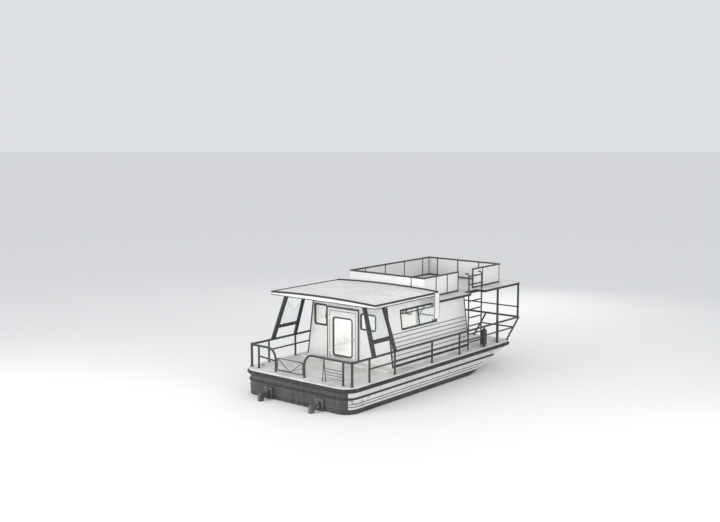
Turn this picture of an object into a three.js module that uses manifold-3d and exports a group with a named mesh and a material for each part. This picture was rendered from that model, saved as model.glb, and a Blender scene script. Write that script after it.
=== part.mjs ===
// A river houseboat on a steel barge hull, seen as an assembly of its real pieces.
// Millimetres. X forward, Y to port, Z up. Stations are measured forward from the transom.
import * as THREE from "three";
import { mergeVertices } from "three/addons/utils/BufferGeometryUtils.js";
import Module from "manifold-3d";

const wasm = await Module();
wasm.setup();

// Gap kept between two pieces that touch on a slanted or round face, and between moving ones.
const SEAT = 0.3;
const PLAY = 0.5;
// Depth by which two parts of one solid run into each other, or a cutter runs past a face.
const BITE = 1;
const ARC_STEPS = 8;
const TUBE_SIDES = 8;

// Hull: flat bottom on z = 0, raked at both ends.
const HULL_LENGTH = 9000;
const HULL_HALF = 2150;
const HULL_TOP = 1210;
const STERN_RADIUS = 450;
const BOW_RADIUS = 250;
const TRANSOM_FOOT = 330;
const STERN_RUN = 1100;
const BOW_RAKE_FROM = 4850;
const BOW_CHIN = 1130;
const BILGE = 120;
const DECK_Z = 1250;
const DECK_LIP = 50;
const RUB_DEPTH = 100;
const RUB_FROM = 1090;
const STRAKE_DEPTH = 35;
const STRAKE_Z = [870, 930];
const STRAKE_END = 7900;

// Cabin: its walls lean in, and its ceiling steps down under the sun deck.
const FLOOR_Z = 1330;
const FLOOR_S = [2300, 7000];
const FLOOR_HALF = 1800;
const CABIN_AFT = 2600;
const CABIN_FORE = 6900;
const WALL = 40;
const WALL_FOOT = 1780;
const WALL_HEAD = 1500;
const ROOF_Z = 3430;
const SUN_UNDER = 3180;
const SUN_TOP = 3250;
const STEP_S = 4400;
const LEAN = (WALL_FOOT - WALL_HEAD) / (ROOF_Z - FLOOR_Z);

// Roof over the aft cabin and cockpit.
const ROOF_S = [1250, 4520];
const ROOF_HALF = 2150;
const ROOF_EDGE = 100;
const ROOF_CROWN = 60;
const DOWNSTAND = 320;
const LIGHT_BOARD = { s: [4270, 4520], foot: 2700, depth: 36, block: 90, grip: 50 };

// Sun deck and its bulwark.
const SUN_FORE = 9800;
const SUN_RADIUS = 200;
const BULWARK_HALF = 1550;
const BULWARK_S = [4555, 9200];
const BULWARK_TOP = 3950;
const BULWARK_R = 30;
const BULWARK_POST_R = 28;
const PANEL = 24;
const LADDER_S = [6495, 7295];
const LADDER_Y = 2025;
const LADDER_R = 25;
const OPENING_S = [6555, 7435];
const NOTCH_HALF = 1810;

// Handrails on the main deck.
const RAIL_Y = 2090;
const RAIL_TOP = 2000;
const RAIL_R = 36;
const MID_Z = 1640;
const MID_R = 26;
const POST_R = 32;
const FOOT_R = 56;
const FOOT_H = 10;
const POSTS = [1050, 2300, 4280, 5870, 7400, 8300];
const RAIL_END = 8340;
const RAIL_Z = RAIL_TOP - RAIL_R;
const STERN_S = 240;
const CORNER = { s: 260, y: 2075, r: 40, rise: 20 };
const GATE_Y = [-200, 1000];
const GATE_BEND = 1620;
const PULPIT_S = 9750;
const PULPIT_FOOT = 8950;
const PULPIT_MIDDLE = 700;

// Stern drives, one each side of the centre line.
const DRIVE_Y = 1050;
const STEER_S = -120;
const TILT_S = -230;
const TILT_Z = 600;
const SHAFT_Z = 215;
const PROP_S = [-650, -560];
const PROP_R = 165;

// The whole model is centred between its aft and fore ends.
const MID = (PROP_S[0] + SUN_FORE) / 2;

const paint = {
  white: () => finish(0xeceae3, 0.45, 0),
  hull: () => finish(0xdedcd4, 0.5, 0),
  black: () => finish(0x1c1d1f, 0.55, 0),
  deck: () => finish(0xb9b6aa, 0.8, 0),
  tube: () => finish(0x2a2b2e, 0.4, 0.6),
  alloy: () => finish(0x9a9c9b, 0.4, 0.9),
  drive: () => finish(0x3a3c40, 0.45, 0.2),
  wood: () => finish(0x9c7448, 0.6, 0),
  glass: () => finish(0x44525a, 0.08, 0, 0.4),
};

function finish(color, roughness, metalness, opacity = 1) {
  const transparent = opacity < 1;
  return new THREE.MeshStandardMaterial({ color, roughness, metalness, opacity, transparent });
}

// Turn a closed three.js geometry into a solid, and a solid back into a geometry.
function solid(geometry) {
  const bare = geometry.index ? geometry.toNonIndexed() : geometry.clone();
  bare.deleteAttribute("normal");
  bare.deleteAttribute("uv");
  const merged = mergeVertices(bare, 1e-3);
  const index = merged.index.array;
  const kept = [];
  for (let i = 0; i < index.length; i += 3) {
    const [a, b, c] = [index[i], index[i + 1], index[i + 2]];
    if (a !== b && b !== c && c !== a) kept.push(a, b, c);
  }
  const vertProperties = new Float32Array(merged.attributes.position.array);
  const mesh = new wasm.Mesh({ numProp: 3, vertProperties, triVerts: new Uint32Array(kept) });
  return new wasm.Manifold(mesh);
}

function geometryOf(body) {
  const mesh = body.getMesh();
  const geometry = new THREE.BufferGeometry();
  const places = new THREE.BufferAttribute(new Float32Array(mesh.vertProperties), 3);
  geometry.setAttribute("position", places);
  geometry.setIndex(new THREE.BufferAttribute(new Uint32Array(mesh.triVerts), 1));
  return geometry;
}

function join(solids) {
  return solids.reduce((all, next) => all.add(next));
}

// A block between two values on each axis.
function block(x, y, z) {
  const [low, high] = [0, 1].map((end) => [x, y, z].map((pair) => (end ? Math.max : Math.min)(...pair)));
  const size = high.map((value, axis) => value - low[axis]);
  const geometry = new THREE.BoxGeometry(...size);
  return geometry.translate(...low.map((value, axis) => value + size[axis] / 2));
}

// A round bar or cone between two points.
function bar(from, to, radius, endRadius = radius, sides = TUBE_SIDES) {
  const start = new THREE.Vector3(...from);
  const run = new THREE.Vector3(...to).sub(start);
  const geometry = new THREE.CylinderGeometry(endRadius, radius, run.length(), sides);
  const turn = new THREE.Quaternion().setFromUnitVectors(
    new THREE.Vector3(0, 1, 0),
    run.clone().normalize(),
  );
  geometry.applyQuaternion(turn);
  const centre = start.addScaledVector(run, 0.5);
  return solid(geometry.translate(centre.x, centre.y, centre.z));
}

// A round tube along a curve.
function bentTube(path, radius, steps) {
  const section = new THREE.Shape().absarc(0, 0, radius, 0, 2 * Math.PI);
  const curveSegments = TUBE_SIDES / 2;
  return solid(new THREE.ExtrudeGeometry(section, { steps, extrudePath: path, curveSegments }));
}

function vec(point) {
  return new THREE.Vector3(...point);
}

// A shape from corner points, with rectangular openings given as [low, high] pairs.
function outline(points, openings = []) {
  const shape = new THREE.Shape(points.map((point) => new THREE.Vector2(...point)));
  for (const [across, up] of openings) {
    const corners = [[0, 0], [0, 1], [1, 1], [1, 0]];
    shape.holes.push(new THREE.Path(corners.map(([i, j]) => new THREE.Vector2(across[i], up[j]))));
  }
  return shape;
}

function rectangle(across, up, openings = []) {
  const corners = [[0, 0], [1, 0], [1, 1], [0, 1]];
  return outline(corners.map(([i, j]) => [across[i], up[j]]), openings);
}

// Extrusions of a shape: level plates, plates on edge fore and aft, plates on edge across.
function levelPlate(shape, z) {
  const depth = z[1] - z[0];
  const geometry = new THREE.ExtrudeGeometry(shape, extrusion(depth));
  return geometry.translate(0, 0, z[0]);
}

function sidePlate(shape, y) {
  const [low, high] = [Math.min(...y), Math.max(...y)];
  const geometry = new THREE.ExtrudeGeometry(shape, extrusion(high - low));
  return geometry.rotateX(Math.PI / 2).translate(0, high, 0);
}

function crossPlate(shape, x) {
  const geometry = new THREE.ExtrudeGeometry(shape, extrusion(x[1] - x[0]));
  const axes = [[0, 1, 0], [0, 0, 1], [1, 0, 0]].map(vec);
  return geometry.applyMatrix4(new THREE.Matrix4().makeBasis(...axes)).translate(x[0], 0, 0);
}

function extrusion(depth) {
  return { depth, bevelEnabled: false, curveSegments: ARC_STEPS };
}

// Lean a plate over: Y grows by slope for each unit of Z above a level.
function leaned(geometry, slope, level) {
  const shear = new THREE.Matrix4().set(1, 0, 0, 0, 0, 1, slope, -slope * level, 0, 0, 1, 0, 0, 0, 0, 1);
  return geometry.applyMatrix4(shear);
}

// A plan outline with round stern and bow corners.
function planOutline(aft, fore, half, sternRadius, bowRadius) {
  const shape = new THREE.Shape();
  const corners = [
    [fore - bowRadius, bowRadius - half, bowRadius, -0.5],
    [fore - bowRadius, half - bowRadius, bowRadius, 0],
    [aft + sternRadius, half - sternRadius, sternRadius, 0.5],
    [aft + sternRadius, sternRadius - half, sternRadius, 1],
  ];
  shape.moveTo(aft + sternRadius, -half);
  for (const [s, y, radius, turn] of corners) {
    if (radius > 0) shape.absarc(s, y, radius, turn * Math.PI, (turn + 0.5) * Math.PI);
    else shape.lineTo(s, y);
  }
  return shape;
}

const sides = { starboard: -1, port: 1 };
const barge = new THREE.Group();
const stations = new THREE.Group();
stations.position.x = -MID;
barge.add(stations);

function place(name, body, material) {
  const geometry = geometryOf(body);
  const mesh = new THREE.Mesh(geometry, material);
  mesh.name = name;
  stations.add(mesh);
}

// Hull block: side profile, plan and midship section cut from one another.
function hull() {
  const profile = outline([
    [0, TRANSOM_FOOT],
    [STERN_RUN, 0],
    [BOW_RAKE_FROM, 0],
    [HULL_LENGTH, BOW_CHIN],
    [HULL_LENGTH, HULL_TOP],
    [0, HULL_TOP],
  ]);
  const section = outline([
    [-HULL_HALF, BILGE],
    [BILGE - HULL_HALF, 0],
    [HULL_HALF - BILGE, 0],
    [HULL_HALF, BILGE],
    [HULL_HALF, HULL_TOP],
    [-HULL_HALF, HULL_TOP],
  ]);
  const plan = planOutline(0, HULL_LENGTH, HULL_HALF, STERN_RADIUS, BOW_RADIUS);
  return solid(sidePlate(profile, [-HULL_HALF, HULL_HALF]))
    .intersect(solid(crossPlate(section, [0, HULL_LENGTH])))
    .intersect(solid(levelPlate(plan, [0, HULL_TOP])));
}

// A plan outline that stands off the hull by a margin.
function hullPlan(margin) {
  const [stern, bow] = [STERN_RADIUS + margin, BOW_RADIUS + margin];
  return planOutline(-margin, HULL_LENGTH + margin, HULL_HALF + margin, stern, bow);
}

function deckPlate() {
  return solid(levelPlate(hullPlan(DECK_LIP), [HULL_TOP, DECK_Z]));
}

function rubRail() {
  const z = [RUB_FROM, HULL_TOP];
  const through = [RUB_FROM - BITE, HULL_TOP + BITE];
  const hole = solid(levelPlate(hullPlan(SEAT), through));
  return solid(levelPlate(hullPlan(RUB_DEPTH), z)).subtract(hole);
}

// Strake round the stern and sides, open at the bow where the rake begins.
function lowerStrake() {
  const [half, radius] = [HULL_HALF + STRAKE_DEPTH, STERN_RADIUS + STRAKE_DEPTH];
  const ring = planOutline(-STRAKE_DEPTH, STRAKE_END, half, radius, 0);
  const through = [STRAKE_Z[0] - BITE, STRAKE_Z[1] + BITE];
  return solid(levelPlate(ring, STRAKE_Z)).subtract(solid(levelPlate(hullPlan(SEAT), through)));
}

function hullAndDeck() {
  place("hull", hull(), paint.hull());
  place("main_deck", deckPlate(), paint.deck());
  place("rub_rail", rubRail(), paint.black());
  place("lower_strake", lowerStrake(), paint.black());
  place("cabin_floor", solid(block(FLOOR_S, [-FLOOR_HALF, FLOOR_HALF], [DECK_Z, FLOOR_Z])), paint.deck());
}

// Half width of the cabin inside its leaning walls at a height.
function insideHalf(z) {
  return WALL_FOOT - WALL - SEAT - LEAN * (z - FLOOR_Z);
}

// Side windows: one opening with a centre post and a narrow upper row.
const SIDE_WINDOW = { s: [3250, 5200], z: [2420, 3060], frame: 45, mullion: 40, transom: 2910 };
const FRAME_PROUD = 10;
const FRAME_DEPTH = 35;
const GLASS = 8;

function sideWall(side) {
  const wall = outline([
    [CABIN_AFT, FLOOR_Z],
    [CABIN_FORE, FLOOR_Z],
    [CABIN_FORE, SUN_UNDER],
    [STEP_S, SUN_UNDER],
    [STEP_S, ROOF_Z],
    [CABIN_AFT, ROOF_Z],
  ], [[SIDE_WINDOW.s, SIDE_WINDOW.z]]);
  return leaningPlate(side, wall, 0, WALL);
}

function inset(pair, margin) {
  return [pair[0] + margin, pair[1] - margin];
}

// A plate that leans with the side wall, its outer face off the wall's by a margin.
function leaningPlate(side, shape, margin, depth) {
  const outer = WALL_FOOT + margin;
  return solid(leaned(sidePlate(shape, [side * outer, side * (outer - depth)]), -side * LEAN, FLOOR_Z));
}

function sideWindowFrame(side) {
  const { s, z, frame, mullion, transom } = SIDE_WINDOW;
  const middle = (s[0] + s[1]) / 2;
  const columns = [
    [s[0] + frame, middle - mullion / 2],
    [middle + mullion / 2, s[1] - frame],
  ];
  const rows = [
    [z[0] + frame, transom],
    [transom + mullion, z[1] - frame],
  ];
  let plate = leaningPlate(side, rectangle(inset(s, SEAT), inset(z, SEAT)), FRAME_PROUD, FRAME_DEPTH);
  for (const column of columns) {
    for (const row of rows) {
      const hole = leaningPlate(side, rectangle(column, row), FRAME_PROUD + BITE, FRAME_DEPTH + 2 * BITE);
      plate = plate.subtract(hole);
    }
  }
  return plate;
}

function sideGlass(side) {
  const { s, z } = SIDE_WINDOW;
  const shape = rectangle(inset(s, SEAT), inset(z, SEAT));
  return leaningPlate(side, shape, FRAME_PROUD - FRAME_DEPTH - SEAT, GLASS);
}

// Cross walls at both ends of the cabin, each with a doorway and two windows.
const AFT_DOORWAY = { y: [-280, 760], z: [FLOOR_Z, 2870] };
const AFT_WINDOWS = {
  port: { y: [960, 1450], z: [2380, 3020] },
  starboard: { y: [-1080, -500], z: [2420, 2900] },
};
const FORE_DOORWAY = { y: [-450, 450], z: [FLOOR_Z, 3040] };
const FORE_WINDOWS = {
  port: { y: [650, 1350], z: [2150, 2900] },
  starboard: { y: [-1350, -650], z: [2150, 2900] },
};

function crossWall(s, top, doorway, windows) {
  const [foot, head] = [insideHalf(FLOOR_Z), insideHalf(top)];
  const [first, second] = doorway.y;
  const shape = outline([
    [-foot, FLOOR_Z],
    [first, FLOOR_Z],
    [first, doorway.z[1]],
    [second, doorway.z[1]],
    [second, FLOOR_Z],
    [foot, FLOOR_Z],
    [head, top],
    [-head, top],
  ], Object.values(windows).map(({ y, z }) => [y, z]));
  return solid(crossPlate(shape, s));
}

function pane(window, s) {
  const middle = (s[0] + s[1]) / 2;
  const shape = rectangle(inset(window.y, SEAT), inset(window.z, SEAT));
  return solid(crossPlate(shape, [middle - GLASS / 2, middle + GLASS / 2]));
}

// Aft door: a casing on the wall, and a glazed leaf on lift-off hinges at its port edge.
const CASING = { depth: 40, width: 100, clear: 20 };
const LEAF = { clear: 5, depth: 35, stile: 155, sill: 110, head: 220, lift: 8, recess: 13 };
const HINGE = { r: 7.6, off: 8, plate: 6, reach: 42, height: 60, levels: [1600, 2650] };

function aftCasing() {
  const z = AFT_DOORWAY.z[1] + CASING.clear;
  const [y0, y1] = [AFT_DOORWAY.y[0] - CASING.clear, AFT_DOORWAY.y[1] + CASING.clear];
  const shape = outline([
    [y0 - CASING.width, FLOOR_Z],
    [y0, FLOOR_Z],
    [y0, z],
    [y1, z],
    [y1, FLOOR_Z],
    [y1 + CASING.width, FLOOR_Z],
    [y1 + CASING.width, z + CASING.width],
    [y0 - CASING.width, z + CASING.width],
  ]);
  const frame = solid(crossPlate(shape, [CABIN_AFT - CASING.depth, CABIN_AFT]));
  return join([frame, ...doorHinges(-HINGE.height - PLAY, 1)]);
}

const doorEdge = AFT_DOORWAY.y[1] + CASING.clear;
const DOOR_AXIS = { s: CABIN_AFT - CASING.depth - HINGE.off, y: doorEdge - BITE };

// Barrels and plates of the door's hinges: below a level for the casing, above it for the leaf.
function doorHinges(drop, toward) {
  return HINGE.levels.flatMap((level) => {
    const z = [level + drop, level + drop + HINGE.height];
    const { s, y } = DOOR_AXIS;
    const face = s + HINGE.off;
    return [
      bar([s, y, z[0]], [s, y, z[1]], HINGE.r),
      solid(block([face - HINGE.plate, face + (toward < 0 ? BITE : 0)], [y, y + toward * HINGE.reach], z)),
    ];
  });
}

function aftDoor() {
  const y = inset([AFT_DOORWAY.y[0] - CASING.clear, doorEdge], LEAF.clear);
  const z = [FLOOR_Z + LEAF.lift, AFT_DOORWAY.z[1] + CASING.clear - LEAF.clear];
  const light = [inset(y, LEAF.stile), [z[0] + LEAF.sill, z[1] - LEAF.head]];
  const s = [CABIN_AFT - CASING.depth, CABIN_AFT - CASING.depth + LEAF.depth];
  const leaf = solid(crossPlate(rectangle(y, z, [light]), s));
  return { leaf: join([leaf, ...doorHinges(0, -1)]), glass: leafGlass(light, s) };
}

function leafGlass([y, z], s) {
  return solid(crossPlate(rectangle(inset(y, SEAT), inset(z, SEAT)), inset(s, LEAF.recess)));
}

// Forward door: a glazed leaf that hangs from a track and slides to port.
const FORE_LEAF = { y: [-500, 500], z: [FLOOR_Z + 6, 3080], off: 8, depth: 34, stile: 70, rail: 90 };
const TRACK = { y: [-530, 1470], depth: 50, height: 36 };

function foreDoor() {
  const s = [CABIN_FORE + FORE_LEAF.off, CABIN_FORE + FORE_LEAF.off + FORE_LEAF.depth];
  const light = [inset(FORE_LEAF.y, FORE_LEAF.stile), inset(FORE_LEAF.z, FORE_LEAF.rail)];
  const leaf = solid(crossPlate(rectangle(FORE_LEAF.y, FORE_LEAF.z, [light]), s));
  return { leaf, glass: leafGlass(light, s) };
}

function doorTrack() {
  const from = FORE_LEAF.z[1] + PLAY;
  return solid(block([CABIN_FORE, CABIN_FORE + TRACK.depth], TRACK.y, [from, from + TRACK.height]));
}

function cabin() {
  for (const [name, side] of Object.entries(sides)) {
    place(`${name}_wall`, sideWall(side), paint.white());
    place(`${name}_window_frame`, sideWindowFrame(side), paint.black());
    place(`${name}_window_glass`, sideGlass(side), paint.glass());
  }
  const aft = [CABIN_AFT, CABIN_AFT + WALL];
  const fore = [CABIN_FORE - WALL, CABIN_FORE];
  place("aft_wall", crossWall(aft, ROOF_Z, AFT_DOORWAY, AFT_WINDOWS), paint.white());
  place("fore_wall", crossWall(fore, SUN_UNDER, FORE_DOORWAY, FORE_WINDOWS), paint.white());
  for (const name of Object.keys(sides)) {
    place(`aft_${name}_window`, pane(AFT_WINDOWS[name], aft), paint.glass());
    place(`fore_${name}_window`, pane(FORE_WINDOWS[name], fore), paint.glass());
  }
  place("aft_door_casing", aftCasing(), paint.white());
  const hinged = aftDoor();
  place("aft_door", hinged.leaf, paint.white());
  place("aft_door_glass", hinged.glass, paint.glass());
  const sliding = foreDoor();
  place("fore_door", sliding.leaf, paint.alloy());
  place("fore_door_glass", sliding.glass, paint.glass());
  place("fore_door_track", doorTrack(), paint.alloy());
}

// Cambered roof over the cockpit and aft cabin. Each forward corner has a downstand to the
// sun deck, and outside it a board for a side light.
function roof() {
  const steps = 12;
  const crown = [];
  for (let i = 0; i <= steps; i += 1) {
    const y = ROOF_HALF * (1 - (2 * i) / steps);
    crown.push([y, ROOF_Z + ROOF_EDGE + ROOF_CROWN * (1 - (y / ROOF_HALF) ** 2)]);
  }
  const section = outline([[-ROOF_HALF, ROOF_Z], [ROOF_HALF, ROOF_Z], ...crown]);
  const feet = Object.values(sides).map((side) => {
    const y = [side * ROOF_HALF, side * (ROOF_HALF - DOWNSTAND)];
    return solid(block([STEP_S, ROOF_S[1]], y, [SUN_TOP, ROOF_Z + BITE]));
  });
  const boards = Object.values(sides).flatMap((side) => {
    const y = [side * (ROOF_HALF + SEAT), side * (ROOF_HALF + SEAT + LIGHT_BOARD.depth)];
    const edge = ROOF_Z + ROOF_EDGE;
    const cleat = [side * (ROOF_HALF - LIGHT_BOARD.grip), y[1]];
    return [
      solid(block(LIGHT_BOARD.s, y, [LIGHT_BOARD.foot, edge])),
      solid(block(LIGHT_BOARD.s, cleat, [edge - LIGHT_BOARD.block, edge])),
    ];
  });
  return join([solid(crossPlate(section, ROOF_S)), ...feet, ...boards]);
}

function sunDeck() {
  const plan = planOutline(STEP_S, SUN_FORE, ROOF_HALF, 0, SUN_RADIUS);
  const [aft, fore] = [LADDER_S[0] - LADDER_R - PLAY, LADDER_S[1] + LADDER_R + PLAY];
  const notch = block([aft, fore], [-ROOF_HALF - BITE, -NOTCH_HALF], [SUN_UNDER - BITE, SUN_TOP + BITE]);
  return solid(levelPlate(plan, [SUN_UNDER, SUN_TOP])).subtract(solid(notch));
}

// Bulwark: thin panels stiffened by posts, under a round top rail. The aft posts stand inside.
const AFT_POST_INSET = 18;

function bulwarkRun(from, to, places, inset = 0) {
  const across = from[0] === to[0];
  const fixed = across ? from[0] : from[1];
  const span = across ? [from[1], to[1]] : [from[0], to[0]];
  const railZ = BULWARK_TOP - BULWARK_R;
  const thick = [fixed - PANEL / 2, fixed + PANEL / 2];
  const panel = across ? block(thick, span, [SUN_TOP, railZ]) : block(span, thick, [SUN_TOP, railZ]);
  const posts = places.map((at) => {
    const [s, y] = across ? [fixed + inset, at] : [at, fixed];
    return bar([s, y, SUN_TOP], [s, y, railZ], BULWARK_POST_R);
  });
  return join([solid(panel), ...posts, bar([...from, railZ], [...to, railZ], BULWARK_R)]);
}

function bulwark() {
  const [aft, fore] = BULWARK_S;
  const half = BULWARK_HALF;
  const clear = BULWARK_R + SEAT;
  const gap = OPENING_S;
  const ends = [gap[0] - BULWARK_POST_R, gap[1] + BULWARK_POST_R];
  const runs = {
    aft: [[aft, -half - BULWARK_R], [aft, half + BULWARK_R], [-1040, -520, 0, 520, 1040], AFT_POST_INSET],
    fore: [[fore, -half - BULWARK_R], [fore, half + BULWARK_R], [-half, -690, 230, 1150, half]],
    port: [[aft + clear, half], [fore - clear, half], [5325, 6475, 7625, 8775]],
    starboard_aft: [[aft + clear, -half], [gap[0], -half], [5225, 5875, ends[0]]],
    starboard_fore: [[gap[1], -half], [fore - clear, -half], [ends[1], 8075]],
  };
  for (const [name, run] of Object.entries(runs)) {
    place(`sun_deck_${name}_panel`, bulwarkRun(...run), paint.white());
  }
}

// Side handrail: top and middle rails on posts with round feet.
function post(s, y) {
  return [
    bar([s, y, DECK_Z], [s, y, RAIL_Z], POST_R),
    bar([s, y, DECK_Z], [s, y, DECK_Z + FOOT_H], FOOT_R),
  ];
}

function sideRail(side) {
  const y = side * RAIL_Y;
  const start = CORNER.s + CORNER.r + SEAT;
  return join([
    bar([start, y, RAIL_Z], [RAIL_END, y, RAIL_Z], RAIL_R),
    bar([POSTS[0], y, MID_Z], [POSTS.at(-1), y, MID_Z], MID_R),
    ...POSTS.flatMap((s) => post(s, y)),
  ]);
}

// The stern rail comes up from the deck beside the gate, bends over and runs to a corner post.
const RISE = { reach: 360, lead: 40, steps: 22 };

function sternRise(side, gateY) {
  const path = new THREE.CurvePath();
  const bendY = gateY + side * RISE.reach;
  const knee = vec([STERN_S, gateY, GATE_BEND]);
  const shoulder = vec([STERN_S, bendY, RAIL_Z]);
  path.add(new THREE.LineCurve3(vec([STERN_S, gateY, DECK_Z]), knee));
  path.add(new THREE.QuadraticBezierCurve3(knee, vec([STERN_S, gateY + side * RISE.lead, RAIL_Z]), shoulder));
  path.add(new THREE.LineCurve3(shoulder, vec([STERN_S, side * CORNER.y, RAIL_Z])));
  return bentTube(path, RAIL_R, RISE.steps);
}

function cornerPost(side) {
  const y = side * CORNER.y;
  return bar([CORNER.s, y, DECK_Z], [CORNER.s, y, RAIL_TOP + CORNER.rise], CORNER.r);
}

// Starboard of the gate: thin bars and a narrow brace under the rail.
const SLATS = { y: [-1750, -1025], z: [1390, 1480, 1570, 1660], r: 10 };
const BRACE = { y: -1000, spread: 60, r: 14, lift: 2, sink: 15 };

function starboardSternRail() {
  const legs = [-1, 1].map((way) => {
    const foot = [STERN_S, BRACE.y + way * BRACE.spread, DECK_Z + BRACE.lift];
    return bar(foot, [STERN_S, BRACE.y, RAIL_Z - BRACE.sink], BRACE.r);
  });
  return join([
    sternRise(-1, GATE_Y[0]),
    cornerPost(-1),
    ...post(STERN_S, SLATS.y[0]),
    ...legs,
    ...SLATS.z.map((z) => bar([STERN_S, SLATS.y[0], z], [STERN_S, SLATS.y[1], z], SLATS.r)),
  ]);
}

// Port of the gate: one post, a sloping middle rail and the pintles that carry the gate.
const PORT_POST = { y: 1740, fall: 60 };

function portSternRail() {
  const { y, fall } = PORT_POST;
  return join([
    sternRise(1, GATE_Y[1]),
    cornerPost(1),
    ...post(STERN_S, y),
    bar([STERN_S, y, MID_Z], [STERN_S, GATE_Y[1], MID_Z - fall], MID_R),
    ...GATE.levels.flatMap(pintle),
  ]);
}

// Low stern gate between the two rails, hinged on the port side.
const GATE = {
  z: [1310, 1690],
  r: 15,
  clear: 10,
  levels: [1360, 1560],
  barrel: 40,
  brace: 11,
  arm: 6,
  pin: 7,
  inset: 30,
};
const GATE_AXIS = { s: STERN_S, y: GATE_Y[1] - RAIL_R - HINGE.r - 1.4 };

// Pintle on the rail that carries one of the gate's barrels.
function pintle(z) {
  const { s, y } = GATE_AXIS;
  const top = z - PLAY;
  const middle = top - GATE.barrel / 2;
  return [
    bar([s, y, top - GATE.barrel], [s, y, top], HINGE.r),
    bar([s, y, middle], [s, GATE_Y[1], middle], GATE.pin),
  ];
}

function sternGate() {
  const [low, high] = GATE.z;
  const starboardY = GATE_Y[0] + RAIL_R + GATE.r + GATE.clear;
  const portY = GATE_AXIS.y - GATE.inset;
  const middle = (starboardY + portY) / 2;
  const corners = [[starboardY, low], [portY, low], [portY, high], [starboardY, high]];
  const frame = corners.map((corner, i) => {
    const next = corners[(i + 1) % corners.length];
    return bar([STERN_S, ...corner], [STERN_S, ...next], GATE.r);
  });
  const braces = [starboardY, portY].map((y) => bar([STERN_S, y, high], [STERN_S, middle, low], GATE.brace));
  const barrels = GATE.levels.flatMap((z) => {
    const arm = z + GATE.barrel / 2;
    return [
      bar([GATE_AXIS.s, GATE_AXIS.y, z], [GATE_AXIS.s, GATE_AXIS.y, z + GATE.barrel], HINGE.r),
      bar([STERN_S, portY, arm], [STERN_S, GATE_AXIS.y, arm], GATE.arm),
    ];
  });
  return join([...frame, ...braces, ...barrels]);
}

// Pulpit: rails and leaning posts that carry the deck outline forward over the bow rake.
const PULPIT_LIFT = 28;
const PULPIT_OVERRUN = 15;

function bowRail() {
  const lean = (PULPIT_S - PULPIT_FOOT) / (RAIL_Z - DECK_Z);
  const midS = PULPIT_FOOT + lean * (MID_Z - DECK_Z);
  const pieces = [bar([PULPIT_S, -RAIL_Y, RAIL_Z], [PULPIT_S, RAIL_Y, RAIL_Z], RAIL_R)];
  for (const y of [-RAIL_Y, -PULPIT_MIDDLE, PULPIT_MIDDLE, RAIL_Y]) {
    pieces.push(bar([PULPIT_FOOT, y, DECK_Z + PULPIT_LIFT], [PULPIT_S, y, RAIL_Z], POST_R));
    pieces.push(bar([PULPIT_FOOT, y, DECK_Z], [PULPIT_FOOT, y, DECK_Z + 2 * FOOT_H], FOOT_R));
  }
  for (const side of Object.values(sides)) {
    const y = side * RAIL_Y;
    pieces.push(bar([RAIL_END + SEAT, y, RAIL_Z], [PULPIT_S + PULPIT_OVERRUN, y, RAIL_Z], RAIL_R));
    pieces.push(bar([RAIL_END + SEAT, y, MID_Z], [midS, y, MID_Z], MID_R));
    pieces.push(bar([midS, y, MID_Z], [midS, side * PULPIT_MIDDLE, MID_Z], MID_R));
  }
  return join(pieces);
}

// Posts from the pulpit up to the sun deck's fore corners, with a cross bar between them.
const BOW_POST = { inboard: 50, r: 38, barZ: 2330, barR: 24 };

function bowPosts() {
  const [y, z] = [RAIL_Y - BOW_POST.inboard, RAIL_TOP + SEAT];
  return join([
    ...[-y, y].map((at) => bar([PULPIT_S, at, z], [PULPIT_S, at, SUN_UNDER], BOW_POST.r)),
    bar([PULPIT_S, -y, BOW_POST.barZ], [PULPIT_S, y, BOW_POST.barZ], BOW_POST.barR),
  ]);
}

// Posts from the deck up to the sun deck, just inside the handrail.
const DECK_POST = { inboard: 80, ahead: 90, r: 40, collar: 44 };

function deckPost(side) {
  const y = side * (RAIL_Y - DECK_POST.inboard);
  const s = POSTS.at(-1) + DECK_POST.ahead;
  return join([
    bar([s, y, DECK_Z], [s, y, SUN_UNDER], DECK_POST.r),
    bar([s, y, DECK_Z + BITE], [s, y, DECK_Z + FOOT_H], DECK_POST.collar),
  ]);
}

// Slanted wings from the handrail up to the roof edge, glazed above a cross board.
const WING = {
  aft: { foot: [1175, 1345], head: [1305, 1475] },
  fore: { foot: [2235, 2365], head: [2205, 2335] },
  board: [2330, 2430],
  thick: 50,
  headY: 1610,
  foot: RAIL_TOP + SEAT,
};
const WING_SLOPE = (RAIL_Y - WING.headY) / (ROOF_Z - WING.foot);

function alongWing(pair, z) {
  return pair.foot.map((s, i) => s + ((pair.head[i] - s) * (z - WING.foot)) / (ROOF_Z - WING.foot));
}

function wingLean(shape, side, thick) {
  const y = [side * (RAIL_Y + thick / 2), side * (RAIL_Y - thick / 2)];
  return solid(leaned(sidePlate(shape, y), -side * WING_SLOPE, WING.foot));
}

function wing(side) {
  const { aft, fore, board, foot } = WING;
  const edge = (pair, which, z) => [alongWing(pair, z)[which], z];
  const shape = outline([
    edge(aft, 0, foot),
    edge(aft, 1, foot),
    edge(aft, 1, board[0]),
    edge(fore, 0, board[0]),
    edge(fore, 0, foot),
    edge(fore, 1, foot),
    edge(fore, 1, ROOF_Z),
    edge(fore, 0, ROOF_Z),
    edge(fore, 0, board[1]),
    edge(aft, 1, board[1]),
    edge(aft, 1, ROOF_Z),
    edge(aft, 0, ROOF_Z),
  ]);
  return wingLean(shape, side, WING.thick);
}

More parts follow.
